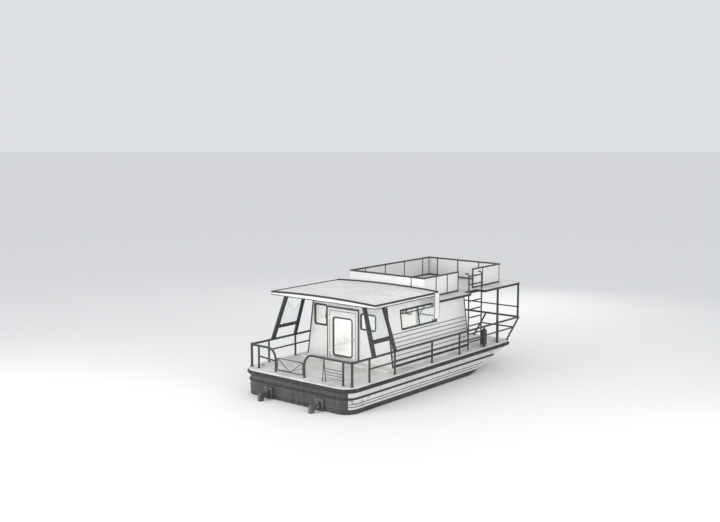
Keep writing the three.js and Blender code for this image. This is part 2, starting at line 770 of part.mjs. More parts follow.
function wingGlass(side) {
  const [low, high] = [WING.board[1] + SEAT, ROOF_Z - SEAT];
  const corner = (pair, which, z, off) => [alongWing(pair, z)[which] + off, z];
  const shape = outline([
    corner(WING.aft, 1, low, 2 * SEAT),
    corner(WING.fore, 0, low, -2 * SEAT),
    corner(WING.fore, 0, high, -2 * SEAT),
    corner(WING.aft, 1, high, 2 * SEAT),
  ]);
  return wingLean(shape, side, GLASS);
}

// Ladder from the side deck up through the notch in the sun deck, its rails bent inboard on top.
const RUNGS = { from: 1530, pitch: 285, count: 9, r: 22 };
const LADDER_TOP = 3850;
const HOOK = { turn: [55, 45], end: 140, lap: 7 };

function ladder() {
  const level = LADDER_TOP + HOOK.turn[1];
  const pieces = LADDER_S.flatMap((s) => [
    bar([s, -LADDER_Y, DECK_Z], [s, -LADDER_Y, LADDER_TOP], LADDER_R),
    bar([s, -LADDER_Y, LADDER_TOP - HOOK.lap], [s, HOOK.turn[0] - LADDER_Y, level], LADDER_R),
    bar([s, HOOK.turn[0] - HOOK.lap - LADDER_Y, level], [s, HOOK.end - LADDER_Y, level], LADDER_R),
  ]);
  for (let i = 0; i < RUNGS.count; i += 1) {
    const z = RUNGS.from + i * RUNGS.pitch;
    pieces.push(bar([LADDER_S[0], -LADDER_Y, z], [LADDER_S[1], -LADDER_Y, z], RUNGS.r));
  }
  return join(pieces);
}

// A round fender that stands on the side deck against the middle rail.
const FENDER = {
  s: 7600,
  r: 95,
  profile: [[0, 0], [45, 0], [80, 30], [95, 80], [95, 520], [80, 570], [40, 600], [25, 640], [0, 640]],
};

function fender() {
  const points = FENDER.profile.map(([x, y]) => new THREE.Vector2(x, y));
  const body = new THREE.LatheGeometry(points, 16).rotateX(Math.PI / 2);
  return solid(body.translate(FENDER.s, -(RAIL_Y - MID_R - FENDER.r - SEAT), DECK_Z));
}

// Horn cleats near the four corners of the deck.
const CLEAT = { base: [90, 26, 12], horn: 140, hornR: [15, 8], z: 62, leg: 38, legR: 14 };
const CLEAT_PLACES = { aft: [520, 1850], fore: [8650, 1800] };

function cleat(s, y) {
  const top = DECK_Z + CLEAT.z;
  const [length, half, height] = CLEAT.base;
  const legs = [s - CLEAT.leg, s + CLEAT.leg].map((at) => {
    return bar([at, y, DECK_Z + height - BITE], [at, y, top], CLEAT.legR);
  });
  return join([
    solid(block([s - length, s + length], [y - half, y + half], [DECK_Z, DECK_Z + height])),
    ...legs,
    bar([s - CLEAT.horn, y, top], [s, y, top], CLEAT.hornR[1], CLEAT.hornR[0]),
    bar([s, y, top], [s + CLEAT.horn, y, top], ...CLEAT.hornR),
  ]);
}

function deckGear() {
  for (const [name, side] of Object.entries(sides)) {
    place(`${name}_side_rail`, sideRail(side), paint.tube());
    place(`${name}_wing`, wing(side), paint.black());
    place(`${name}_wing_glass`, wingGlass(side), paint.glass());
    place(`${name}_deck_post`, deckPost(side), paint.tube());
    for (const [end, [s, y]] of Object.entries(CLEAT_PLACES)) {
      place(`${end}_${name}_cleat`, cleat(s, side * y), paint.alloy());
    }
  }
  place("starboard_stern_rail", starboardSternRail(), paint.tube());
  place("port_stern_rail", portSternRail(), paint.tube());
  place("stern_gate", sternGate(), paint.tube());
  place("bow_rail", bowRail(), paint.tube());
  place("bow_posts", bowPosts(), paint.tube());
  place("ladder", ladder(), paint.tube());
  place("fender", fender(), paint.black());
}

// Stern drive: transom bracket, steering gimbal, tilting leg and propeller.
const ROUND_SIDES = 16;
const LUG = { z: [475, 500, 700, 725], half: 60, aft: -165 };
const BRACKET = { s: [-60, 0], half: 170, z: [400, 800] };
const GIMBAL = { r: 44, yoke: [-185, -140], ear: [80, 104], earS: [-272, -150], earZ: [562, 638] };

function bracket(y) {
  return join([
    solid(block(BRACKET.s, [y - BRACKET.half, y + BRACKET.half], BRACKET.z)),
    ...[0, 2].map((i) => {
      const z = [LUG.z[i], LUG.z[i + 1]];
      return solid(block([LUG.aft, BRACKET.s[0] + BITE], [y - LUG.half, y + LUG.half], z));
    }),
  ]);
}

function gimbal(y) {
  const z = [LUG.z[1] + PLAY, LUG.z[2] - PLAY];
  return join([
    bar([STEER_S, y, z[0]], [STEER_S, y, z[1]], GIMBAL.r, GIMBAL.r, ROUND_SIDES),
    solid(block(GIMBAL.yoke, [y - GIMBAL.ear[1], y + GIMBAL.ear[1]], GIMBAL.earZ)),
    ...[-1, 1].map((side) => {
      const across = GIMBAL.ear.map((half) => y + side * half);
      return solid(block(GIMBAL.earS, across, GIMBAL.earZ));
    }),
  ]);
}

// Leg outline aft of and below the tilt axis, plate over the propeller, skeg and gearcase.
const LEG = [
  [-30, -20],
  [-35, 60],
  [-60, 90],
  [-190, 90],
  [-230, 40],
  [-240, -150],
  [-225, -190],
  [-215, -360],
  [-95, -360],
  [-85, -190],
];
const LEG_HALF = 50;
const PIVOT_R = 38;
const WASH_PLATE = { s: [-610, -330], half: 105, z: [402, 414] };
const SKEG = { outline: [[-520, 180], [-505, 30], [-440, 30], [-390, 180]], half: 8 };
const GEARCASE = [
  [0, -275],
  [38, -300],
  [55, -345],
  [55, -520],
  [40, PROP_S[1] + PLAY],
  [0, PROP_S[1] + PLAY],
];

function shaftTurned(profile, y, segments) {
  const points = profile.map(([r, s]) => new THREE.Vector2(r, s)).reverse();
  const body = new THREE.LatheGeometry(points, segments).rotateZ(-Math.PI / 2);
  return solid(body.translate(0, y, SHAFT_Z));
}

function driveLeg(y) {
  const shape = outline(LEG.map(([s, z]) => [TILT_S + s, TILT_Z + z]));
  const inner = GIMBAL.ear[0] - PLAY;
  const pivot = [y - inner, y + inner].map((at) => [TILT_S, at, TILT_Z]);
  return join([
    bar(...pivot, PIVOT_R, PIVOT_R, ROUND_SIDES),
    solid(sidePlate(shape, [y - LEG_HALF, y + LEG_HALF])),
    solid(block(WASH_PLATE.s, [y - WASH_PLATE.half, y + WASH_PLATE.half], WASH_PLATE.z)),
    solid(sidePlate(outline(SKEG.outline), [y - SKEG.half, y + SKEG.half])),
    shaftTurned(GEARCASE, y, ROUND_SIDES),
  ]);
}

// Propeller: a tapered hub and three pitched blades.
const HUB = { r: [40, 36, 14], taper: 25, sides: 12 };
const BLADE = { root: [28, 20], lead: [74, 0.72], tip: 22, trail: [-64, 0.86], thick: 7, arcs: 5 };
const BLADE_PITCH = 0.34 * Math.PI;
const BLADE_AHEAD = 8;

function bladeShape() {
  const [half, root] = BLADE.root;
  const shape = new THREE.Shape();
  shape.moveTo(-half, root);
  shape.lineTo(half, root);
  shape.quadraticCurveTo(BLADE.lead[0], PROP_R * BLADE.lead[1], BLADE.tip, PROP_R);
  shape.quadraticCurveTo(BLADE.trail[0], PROP_R * BLADE.trail[1], -half, root);
  return shape;
}

function propeller(y) {
  const [tip, face] = PROP_S;
  const [root, middle, end] = HUB.r;
  const hub = [[0, face], [root, face], [middle, tip + HUB.taper], [end, tip], [0, tip]];
  const centre = (tip + face) / 2 + BLADE_AHEAD;
  const blades = [0, 1, 2].map((i) => {
    const cut = { depth: BLADE.thick, bevelEnabled: false, curveSegments: BLADE.arcs };
    const geometry = new THREE.ExtrudeGeometry(bladeShape(), cut);
    geometry.translate(0, 0, -BLADE.thick / 2).rotateX(Math.PI / 2).rotateZ(BLADE_PITCH);
    return solid(geometry.rotateX((i * 2 * Math.PI) / 3).translate(centre, y, SHAFT_Z));
  });
  return join([shaftTurned(hub, y, HUB.sides), ...blades]);
}

function drives() {
  for (const [name, side] of Object.entries(sides)) {
    const y = side * DRIVE_Y;
    place(`${name}_drive_bracket`, bracket(y), paint.drive());
    place(`${name}_drive_gimbal`, gimbal(y), paint.drive());
    place(`${name}_drive_leg`, driveLeg(y), paint.drive());
    place(`${name}_propeller`, propeller(y), paint.alloy());
  }
}

// Steering position inside the cabin, at the forward starboard corner: a console and its wheel.
const HELM = {
  y: [-1400, -620],
  face: 6350,
  profile: [
    [6410, FLOOR_Z],
    [6859.5, FLOOR_Z],
    [6859.5, 2130],
    [6799.5, 2260],
    [6570, 2260],
    [6350, 2200],
    [6350, 1960],
  ],
};
const WHEEL = { z: 2080, r: 200, ring: 14, arcs: 24, off: 62, hub: 26, hubReach: 20, spoke: 10 };

function helmConsole() {
  return solid(sidePlate(outline(HELM.profile), HELM.y));
}

function helmWheel() {
  const y = (HELM.y[0] + HELM.y[1]) / 2;
  const face = HELM.face - SEAT;
  const s = face - WHEEL.off;
  const ring = new THREE.TorusGeometry(WHEEL.r, WHEEL.ring, TUBE_SIDES, WHEEL.arcs).rotateY(Math.PI / 2);
  const spokes = [0, 1, 2].map((i) => {
    const angle = Math.PI / 2 + (i * 2 * Math.PI) / 3;
    const reach = [Math.cos(angle) * WHEEL.r, Math.sin(angle) * WHEEL.r];
    return bar([s, y, WHEEL.z], [s, y + reach[0], WHEEL.z + reach[1]], WHEEL.spoke);
  });
  return join([
    bar([face, y, WHEEL.z], [s - WHEEL.hubReach, y, WHEEL.z], WHEEL.hub),
    solid(ring.translate(s, y, WHEEL.z)),
    ...spokes,
  ]);
}

function helm() {
  place("helm_console", helmConsole(), paint.wood());
  place("helm_wheel", helmWheel(), paint.wood());
}

hullAndDeck();
cabin();
place("aft_roof", roof(), paint.white());
place("sun_deck", sunDeck(), paint.white());
bulwark();
deckGear();
drives();
helm();

export default barge;
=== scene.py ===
import math

import bmesh
import bpy
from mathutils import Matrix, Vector


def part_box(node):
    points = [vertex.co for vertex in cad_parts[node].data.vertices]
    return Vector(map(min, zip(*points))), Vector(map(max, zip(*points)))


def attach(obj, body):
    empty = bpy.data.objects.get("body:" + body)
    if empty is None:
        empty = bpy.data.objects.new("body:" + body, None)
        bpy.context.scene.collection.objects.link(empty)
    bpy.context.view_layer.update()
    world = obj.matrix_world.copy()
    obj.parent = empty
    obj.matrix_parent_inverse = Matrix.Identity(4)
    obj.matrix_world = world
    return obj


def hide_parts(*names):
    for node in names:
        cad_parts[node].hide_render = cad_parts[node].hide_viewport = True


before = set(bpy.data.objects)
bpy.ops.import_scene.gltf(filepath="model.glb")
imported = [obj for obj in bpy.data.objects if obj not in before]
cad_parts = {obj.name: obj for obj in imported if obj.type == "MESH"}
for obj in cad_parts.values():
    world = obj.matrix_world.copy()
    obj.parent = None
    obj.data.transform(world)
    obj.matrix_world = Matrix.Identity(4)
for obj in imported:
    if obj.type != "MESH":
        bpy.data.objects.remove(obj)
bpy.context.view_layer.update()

# The barge afloat, seen from her starboard quarter and from a little above her roof.
# +X is forward and -Y is starboard. The lens gives the picture's 720 x 522 frame.
PICTURE_WIDTH = 720
FOCAL_PIXELS = 990.6
SENSOR = 36.0
SIGHT_LIMIT = 400
EYE = Vector((-26.021, -20.153, 8.668))
HEADING = 0.6863
DIP = 0.130


def placed(name, data):
    """An object of the scene, made from a mesh, a lamp or a camera."""
    made = bpy.data.objects.new(name, data)
    bpy.context.scene.collection.objects.link(made)
    return made


def point_along(thing, way):
    thing.rotation_euler = way.to_track_quat("-Z", "Y").to_euler()


camera_data = bpy.data.cameras.new("quarter_view")
camera_data.sensor_width = SENSOR
camera_data.lens = FOCAL_PIXELS / PICTURE_WIDTH * SENSOR
camera_data.clip_end = SIGHT_LIMIT
camera = placed("quarter_view", camera_data)
camera.location = EYE
sight = Vector((math.cos(HEADING), math.sin(HEADING), 0)) * math.cos(DIP)
point_along(camera, sight - Vector((0, 0, math.sin(DIP))))
bpy.context.scene.camera = camera

# A plain pale floor lies level with her waterline and hides the hull below it.
# It is one wide flat sheet with a matt finish.
WATERLINE = 0.43
FLOOR_HALF = 400
FLOOR_COLOUR = (0.90, 0.90, 0.895, 1)
FLOOR_ROUGHNESS = 0.9


def new_finish(name):
    """A material with nodes. Returns it with its tree and its shader's sockets."""
    made = bpy.data.materials.new(name)
    made.use_nodes = True
    return made, made.node_tree, made.node_tree.nodes["Principled BSDF"].inputs


floor_mesh = bpy.data.meshes.new("floor")
signs = ((-1, -1), (1, -1), (1, 1), (-1, 1))
floor_corners = [(FLOOR_HALF * x, FLOOR_HALF * y, WATERLINE) for x, y in signs]
floor_mesh.from_pydata(floor_corners, [], [(0, 1, 2, 3)])
floor_finish, _, floor_sockets = new_finish("pale_floor")
floor_sockets["Base Color"].default_value = FLOOR_COLOUR
floor_sockets["Roughness"].default_value = FLOOR_ROUGHNESS
floor_mesh.materials.append(floor_finish)
placed("floor", floor_mesh)

# Soft studio light: a broad high key over the port quarter, a weaker broad fill from starboard,
# a lamp off the bow, one in the cabin that keeps the panes pale, and an even pale surround.
LAMPS = (
    ("key", (-19.0, 5.0, 7.5), 9.0, 1650),
    ("fill", (-5.0, -18.0, 7.0), 11.0, 1100),
    ("bow", (16.0, 6.0, 10.0), 10.0, 450),
    ("cabin", (0.15, 0.0, 3.15), 2.4, 80),
)
AIM = Vector((0, 0, 1.8))
SURROUND = (0.93, 0.95, 0.98, 1)
SURROUND_STRENGTH = 0.78

for name, place, size, power in LAMPS:
    lamp_data = bpy.data.lights.new(name, "AREA")
    lamp_data.size = size
    lamp_data.energy = power
    lamp = placed(name, lamp_data)
    lamp.location = place
    point_along(lamp, AIM - lamp.location)
world = bpy.data.worlds.new("surround")
world.use_nodes = True
background = world.node_tree.nodes["Background"].inputs
background["Color"].default_value = SURROUND
background["Strength"].default_value = SURROUND_STRENGTH
bpy.context.scene.world = world
bpy.context.scene.view_settings.view_transform = "Standard"

# Hull: a welded steel barge, painted pale grey over a black boot-top at the waterline.
# Its transom is darkened with painted shade that stands for the shadow on the stern, and two thin lap
# bars run round the hull below the strake.
HULL_PALE = (0.66, 0.67, 0.65, 1)
BOOT_BLACK = (0.018, 0.019, 0.021, 1)
# Painted shade: this dark colour is laid on the transom to stand for the shadow that falls on the stern.
STERN_PAINTED_SHADE = (0.045, 0.048, 0.052, 1)
LAP_BLACK = (0.05, 0.05, 0.055, 1)
RUST = (0.20, 0.085, 0.035, 1)
SILT = (0.23, 0.21, 0.17, 1)
BOOT_TOP = 0.575
STERN_SHADE_X = -4.44
RUST_HEIGHTS = (1.09, 0.80)
RUST_CLOUDS = (3.2, 8.0, 0.60, 0.78)
WELD_PITCH = 1.5
WELD_SOIL = 0.45
WELD_HEIGHT = 4.0
STREAK_EDGES = (0.50, 0.74)
BLOTCH_EDGES = (0.42, 0.68)
WORN_TURNS = (0.995, 0.86)
WORN_CLOUDS = (38.0, 5.0, 0.46, 0.60)
BLOTCH_DULLING = 0.16
BUMP_SCALE = 0.01
BAND_EDGE = 0.006
LAP_HEIGHTS = (0.735, 0.652)
LAP_BAR = (0.016, 0.022, 0.006)
LAP_OFF = 0.004
HULL_AFT = -4.575
HULL_HALF = 2.15
STERN_RADIUS = 0.45
LAP_FORE_ENDS = (2.70, 2.42)
CORNER_STEPS = 10
SHARP_FROM = math.radians(38)


def node(tree, kind, values=None, **settings):
    made = tree.nodes.new(kind)
    for name, value in settings.items():
        setattr(made, name, value)
    for name, value in (values or {}).items():
        if isinstance(value, bpy.types.NodeSocket):
            tree.links.new(value, made.inputs[name])
        else:
            made.inputs[name].default_value = value
    return made


def sums(tree, how, first, second=0.0):
    return node(tree, "ShaderNodeMath", {0: first, 1: second}, operation=how).outputs[0]


def times(tree, first, second):
    return sums(tree, "MULTIPLY", first, second)


def mixed(tree, share, under, over):
    # Sockets 0, 6 and 7 are the share and the two colours.
    return node(tree, "ShaderNodeMix", {0: share, 6: under, 7: over}, data_type="RGBA").outputs[2]


def stepped(tree, value, low, high):
    ends = {"Value": value, "From Min": low, "From Max": high}
    return node(tree, "ShaderNodeMapRange", ends).outputs["Result"]


def spot_of(tree, stretch=None):
    """The place on the piece. stretch squeezes a pattern along each axis."""
    place = node(tree, "ShaderNodeTexCoord").outputs["Object"]
    if stretch is None:
        return place
    return node(tree, "ShaderNodeVectorMath", {0: place, 1: stretch}, operation="MULTIPLY").outputs[0]


def axis_of(tree, letter):
    return node(tree, "ShaderNodeSeparateXYZ", {0: spot_of(tree)}).outputs[letter]


def noise(tree, scale, detail, stretch=None, rough=0.5):
    values = {"Vector": spot_of(tree, stretch), "Scale": scale, "Detail": detail, "Roughness": rough}
    return node(tree, "ShaderNodeTexNoise", values).outputs["Fac"]


def clouds(tree, scale, detail, low, high, stretch=None):
    """Noise cut to a mask that is clear below low and full above high."""
    return stepped(tree, noise(tree, scale, detail, stretch), low, high)


def sockets_of(tree, way, labels):
    """Names a tree's inputs or outputs. Returns the node inside that has them."""
    for label, kind in labels:
        tree.interface.new_socket(label, in_out=way, socket_type="NodeSocket" + kind)
    if way == "INPUT":
        return tree.nodes.new("NodeGroupInput").outputs
    return tree.nodes.new("NodeGroupOutput").inputs


def river_weather():
    """Streaks that run down, wide blotches and a fine grain, for every outdoor finish."""
    tree = bpy.data.node_groups.new("river_weather", "ShaderNodeTree")
    sizes = ("Streaks per metre", "Streak length", "Blotch size", "Grain size")
    given = sockets_of(tree, "INPUT", [(label, "Float") for label in sizes])
    out = sockets_of(tree, "OUTPUT", [(label, "Float") for label in ("Streaks", "Blotches", "Grain")])
    per_metre = given["Streaks per metre"]
    fall = sums(tree, "DIVIDE", 1.0, given["Streak length"])
    drawn = node(tree, "ShaderNodeCombineXYZ", {"X": per_metre, "Y": per_metre, "Z": fall})
    runs = noise(tree, 1.0, 5.0, drawn.outputs[0], rough=0.6)
    tree.links.new(stepped(tree, runs, *STREAK_EDGES), out["Streaks"])
    patches = clouds(tree, sums(tree, "DIVIDE", 1.0, given["Blotch size"]), 6.0, *BLOTCH_EDGES)
    tree.links.new(patches, out["Blotches"])
    tree.links.new(noise(tree, given["Grain size"], 2.0), out["Grain"])
    return tree


def eased_edges():
    """Rounds an edge by its radius, and finds where handling and weather have worn it."""
    tree = bpy.data.node_groups.new("eased_edges", "ShaderNodeTree")
    given = sockets_of(tree, "INPUT", [("Radius", "Float")])
    out = sockets_of(tree, "OUTPUT", [("Worn edge", "Float"), ("Normal", "Vector")])
    eased = node(tree, "ShaderNodeBevel", {"Radius": given["Radius"]}, samples=4).outputs[0]
    face = node(tree, "ShaderNodeNewGeometry").outputs["Normal"]
    agree = node(tree, "ShaderNodeVectorMath", {0: eased, 1: face}, operation="DOT_PRODUCT")
    turned = stepped(tree, agree.outputs["Value"], *WORN_TURNS)
    tree.links.new(times(tree, turned, clouds(tree, *WORN_CLOUDS)), out["Worn edge"])
    tree.links.new(eased, out["Normal"])
    return tree


RIVER_WEATHER = river_weather()
EASED_EDGES = eased_edges()
STREAKS = {"Streaks per metre": 9.0, "Streak length": 0.9, "Blotch size": 1.1}


def finish(
    name, colour, roughness=0.5, metallic=0.0, soiled=SILT, streaks=0.15, blotches=0.10, worn=None,
    wear=0.0, edge=0.004, grain=240.0, bump=0.04, coat=0.0, under=None, relief=None,
):
    """A weathered coating. under gives a socket with the colour below the weather, and relief
    a socket with a pattern that stands up from the face."""
    made, tree, shader = new_finish(name)
    sizes = {**STREAKS, "Grain size": grain}
    weather = node(tree, "ShaderNodeGroup", node_tree=RIVER_WEATHER)
    for label, value in sizes.items():
        weather.inputs[label].default_value = value
    edges = node(tree, "ShaderNodeGroup", node_tree=EASED_EDGES)
    edges.inputs["Radius"].default_value = edge
    edges = edges.outputs
    weather = weather.outputs
    base = under(tree) if under else colour
    base = mixed(tree, times(tree, weather["Streaks"], streaks), base, soiled)
    base = mixed(tree, times(tree, weather["Blotches"], blotches), base, soiled)
    if worn:
        base = mixed(tree, times(tree, edges["Worn edge"], wear), base, worn)
    dulled = sums(tree, "ADD", times(tree, weather["Blotches"], BLOTCH_DULLING), roughness)
    height = sums(tree, "ADD", weather["Grain"], relief(tree)) if relief else weather["Grain"]
    push = {"Strength": 0.5, "Distance": bump * BUMP_SCALE, "Height": height, "Normal": edges["Normal"]}
    tree.links.new(base, shader["Base Color"])
    tree.links.new(dulled, shader["Roughness"])
    tree.links.new(node(tree, "ShaderNodeBump", push).outputs[0], shader["Normal"])
    shader["Metallic"].default_value = metallic
    shader["Coat Weight"].default_value = coat
    return made


def weld_gap(tree):
    """How far a point lies from the nearest weld between two hull plates."""
    return sums(tree, "PINGPONG", axis_of(tree, "X"), WELD_PITCH / 2)


def hull_bands(tree):
    height = axis_of(tree, "Z")
    weld = stepped(tree, weld_gap(tree), BAND_EDGE, BAND_EDGE / 2)
    pale = mixed(tree, times(tree, weld, WELD_SOIL), HULL_PALE, SILT)
    rusty = times(tree, clouds(tree, *RUST_CLOUDS), stepped(tree, height, *RUST_HEIGHTS))
    # Painted shade: aft of the boundary the hull turns dark, standing in for the shadow on the transom.
    stern_shade = stepped(tree, axis_of(tree, "X"), STERN_SHADE_X + BAND_EDGE, STERN_SHADE_X)
    pale = mixed(tree, stern_shade, mixed(tree, rusty, pale, RUST), STERN_PAINTED_SHADE)
    return mixed(tree, stepped(tree, height, BOOT_TOP + BAND_EDGE, BOOT_TOP), pale, BOOT_BLACK)


def weld_relief(tree):
    return times(tree, stepped(tree, weld_gap(tree), BAND_EDGE * 2, BAND_EDGE / 2), WELD_HEIGHT)


def coat_nodes(material, *names):
    for name in names:
        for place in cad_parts[name].material_slots:
            place.material = material


hull_paint = finish(
    "hull_paint", HULL_PALE, 0.42, streaks=0.34, blotches=0.16, worn=RUST, wear=0.5, edge=0.01,
    grain=90.0, bump=0.16, under=hull_bands, relief=weld_relief,
)
coat_nodes(hull_paint, "hull")


def geometry_tree(name, sizes):
    """A Geometry Nodes tree with named sizes. Returns it with its input and output sockets."""
    tree = bpy.data.node_groups.new(name, "GeometryNodeTree")
    given = sockets_of(tree, "INPUT", [("Geometry", "Geometry"), *sizes, ("Finish", "Material")])
    return tree, given, sockets_of(tree, "OUTPUT", [("Geometry", "Geometry")])


def close_tree(tree, given, out, shape):
    real = node(tree, "GeometryNodeRealizeInstances", {"Geometry": shape}).outputs[0]
    coated = node(tree, "GeometryNodeSetMaterial", {"Geometry": real, "Material": given["Finish"]})
    tree.links.new(coated.outputs[0], out["Geometry"])


def filleted(tree, curve, count, radius, **more):
    values = {"Curve": curve, "Count": count, "Radius": radius, **more}
    return node(tree, "GeometryNodeFilletCurve", values, mode="POLY").outputs[0]


def swept_bar(name, section):
    """A bar of round or rounded-square section along a path whose corners are bent."""
    sizes = [("Bend", "Float"), ("Level", "Bool"), *[(label, "Float") for label in section]]
    tree, given, out = geometry_tree(name, sizes)
    bent = filleted(tree, given["Geometry"], 6, given["Bend"], **{"Limit Radius": True})
    level = {"Curve": bent, "Selection": given["Level"]}
    path = node(tree, "GeometryNodeSetCurveNormal", level, mode="Z_UP").outputs[0]
    if "Radius" in section:
        circle = {"Resolution": 14, "Radius": given["Radius"]}
        profile = node(tree, "GeometryNodeCurvePrimitiveCircle", circle).outputs[0]
    else:
        sides = {label: given[label] for label in ("Width", "Height")}
        square = node(tree, "GeometryNodeCurvePrimitiveQuadrilateral", sides).outputs[0]
        profile = filleted(tree, square, 3, given["Corner"])
    ends = {"Curve": path, "Profile Curve": profile, "Fill Caps": True}
    close_tree(tree, given, out, node(tree, "GeometryNodeCurveToMesh", ends).outputs[0])
    return tree


ROUND_BAR = swept_bar("round_bar", ("Radius",))
SQUARE_BAR = swept_bar("square_bar", ("Width", "Height", "Corner"))


def grown(tree, paths, closed, tilt, values):
    """The plain mesh that a tree makes of straight-sided paths. tilt turns a bar's section."""
    curve = bpy.data.curves.new("path", "CURVE")
    curve.dimensions = "3D"
    for points in paths:
        spline = curve.splines.new("POLY")
        spline.points.add(len(points) - 1)
        for place, point in zip(spline.points, points):
            place.co = (*point, 1)
            place.tilt = tilt
        spline.use_cyclic_u = closed
    bench = placed("bench", curve)
    modifier = bench.modifiers.new("shape", "NODES")
    modifier.node_group = tree
    for item in tree.interface.items_tree:
        if item.in_out == "INPUT" and item.name in values:
            modifier[item.identifier] = values[item.name]
    ready = bench.evaluated_get(bpy.context.evaluated_depsgraph_get())
    mesh = bpy.data.meshes.new_from_object(ready)
    bpy.data.objects.remove(bench)
    return mesh


def tube(paths, radius, material, bend=0.0, closed=False):
    values = {"Radius": radius, "Bend": bend, "Level": False, "Finish": material}
    return grown(ROUND_BAR, paths, closed, 0.0, values)


def moulding(paths, bar, material, bend=0.0, closed=False, level=True, tilt=0.0):
    """A bar of rounded-square section. bar holds its width, its height and its corner radius."""
    values = dict(zip(("Width", "Height", "Corner"), bar))
    values.update({"Bend": bend, "Level": level, "Finish": material})
    return grown(SQUARE_BAR, paths, closed, tilt, values)


def meshed(shape, name, *finishes):
    """Turns a worked shape into a plain mesh with its finishes."""
    mesh = bpy.data.meshes.new(name)
    shape.to_mesh(mesh)
    shape.free()
    for material in finishes:
        mesh.materials.append(material)
    return mesh


def piece(name, parts, body="boat", stands_for=()):
    """Joins finished meshes into one named piece that rides on a body of the frame."""
    whole = bmesh.new()
    finishes = []
    for part in parts:
        kept = []
        for material in part.materials:
            if material not in finishes:
                finishes.append(material)
            kept.append(finishes.index(material))
        first = len(whole.faces)
        whole.from_mesh(part)
        whole.faces.ensure_lookup_table()
        for face in whole.faces[first:]:
            face.material_index = kept[face.material_index]
            face.smooth = True
        bpy.data.meshes.remove(part)
    mesh = meshed(whole, name, *finishes)
    mesh.set_sharp_from_angle(angle=SHARP_FROM)
    made = placed(name, mesh)
    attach(made, body)
    if stands_for:
        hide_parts(*stands_for)


def arc(centre, radius, start, end, z, steps=CORNER_STEPS):
    x, y = centre
    turns = [math.radians(start + (end - start) * i / steps) for i in range(steps + 1)]
    return [(x + radius * math.cos(turn), y + radius * math.sin(turn), z) for turn in turns]


def round_the_stern(z, margin, end):
    """A level path from the port side round the stern to starboard, off the hull by a margin."""
    half = HULL_HALF + margin
    x = HULL_AFT + STERN_RADIUS
    y = HULL_HALF - STERN_RADIUS
    port = arc((x, y), STERN_RADIUS + margin, 90, 180, z)
    return [(end, half, z), *port, *arc((x, -y), STERN_RADIUS + margin, 180, 270, z), (end, -half, z)]


laps = [round_the_stern(z, LAP_OFF, end) for z, end in zip(LAP_HEIGHTS, LAP_FORE_ENDS)]
lap_paint = finish("lap_bar_paint", LAP_BLACK, worn=RUST, wear=0.6)
piece("hull_lap_bars", [moulding(laps, LAP_BAR, lap_paint)])

# Rub rail and strake: black rubber mouldings bolted to the hull, the rail right round her
# under the deck edge and the strake round the stern and along both sides to the bow rake.
RUBBER = (0.022, 0.023, 0.025, 1)
SCUFFED = (0.13, 0.13, 0.125, 1)
GALVANISED = (0.42, 0.43, 0.43, 1)
BOW_RADIUS = 0.25
HULL_FORE = 4.425
RAIL_BODY = (0.075, 0.120, 0.014)
RAIL_BEAD = (0.060, 0.066, 0.029)
RAIL_REACH = 0.1
RAIL_MIDDLE = 1.150
RAIL_BOLT_LINES = (RAIL_MIDDLE - 0.047, RAIL_MIDDLE + 0.047)
RAIL_BOLT = (0.011, 0.007)
STRAKE_BAR = (0.036, 0.060, 0.016)
STRAKE_MIDDLE = 0.900
STRAKE_FORE = 3.325
STRAKE_BOLT = (0.009, 0.0005)
STRAKE_BOLT_FORE = STRAKE_FORE - 0.1
SUNK = 0.001
UP = (0.0, 0.0, 1.0)
HEAD_TAPER = 0.62


def round_the_hull(z, margin):
    """The stern path, closed round the bow corners."""
    radius = BOW_RADIUS + margin
    x = HULL_FORE - BOW_RADIUS
    y = HULL_HALF - BOW_RADIUS
    stern = round_the_stern(z, margin, x)
    return [*stern[:-1], *arc((x, -y), radius, 270, 360, z), *arc((x, y), radius, 0, 90, z)[:-1]]


def stud_tree():
    """Dome-headed bolts spread evenly along a path. They face level outwards from the path,
    or along a given aim."""
    sizes = {"Count": "Int", "Radius": "Float", "Height": "Float", "Aim": "Vector", "Aimed": "Bool"}
    tree, given, out = geometry_tree("bolts", sizes.items())
    line = {"Curve": given["Geometry"], "Count": given["Count"]}
    spread = node(tree, "GeometryNodeCurveToPoints", line, mode="COUNT").outputs
    across = {0: spread["Tangent"], 1: (0, 0, 1)}
    level = node(tree, "ShaderNodeVectorMath", across, operation="CROSS_PRODUCT").outputs[0]
    choice = {"Switch": given["Aimed"], "False": level, "True": given["Aim"]}
    aim = node(tree, "GeometryNodeSwitch", choice, input_type="VECTOR").outputs[0]
    turn = node(tree, "FunctionNodeAlignRotationToVector", {"Vector": aim}, axis="Z").outputs[0]
    radii = {"Radius Top": times(tree, given["Radius"], HEAD_TAPER), "Radius Bottom": given["Radius"]}
    shape = {"Vertices": 8, "Depth": given["Height"], **radii}
    head = node(tree, "GeometryNodeMeshCone", shape).outputs["Mesh"]
    places = {"Points": spread["Points"], "Instance": head, "Rotation": turn}
    close_tree(tree, given, out, node(tree, "GeometryNodeInstanceOnPoints", places).outputs[0])
    return tree


BOLTS = stud_tree()


def bolts(paths, count, size, material, aim=None, closed=False):
    """Heads of one size, each a radius and a height. Their number is for each path."""
    values = {"Count": count, "Radius": size[0], "Height": size[1], "Finish": material}
    values.update({"Aim": aim or UP, "Aimed": aim is not None})
    return grown(BOLTS, paths, closed, 0.0, values)


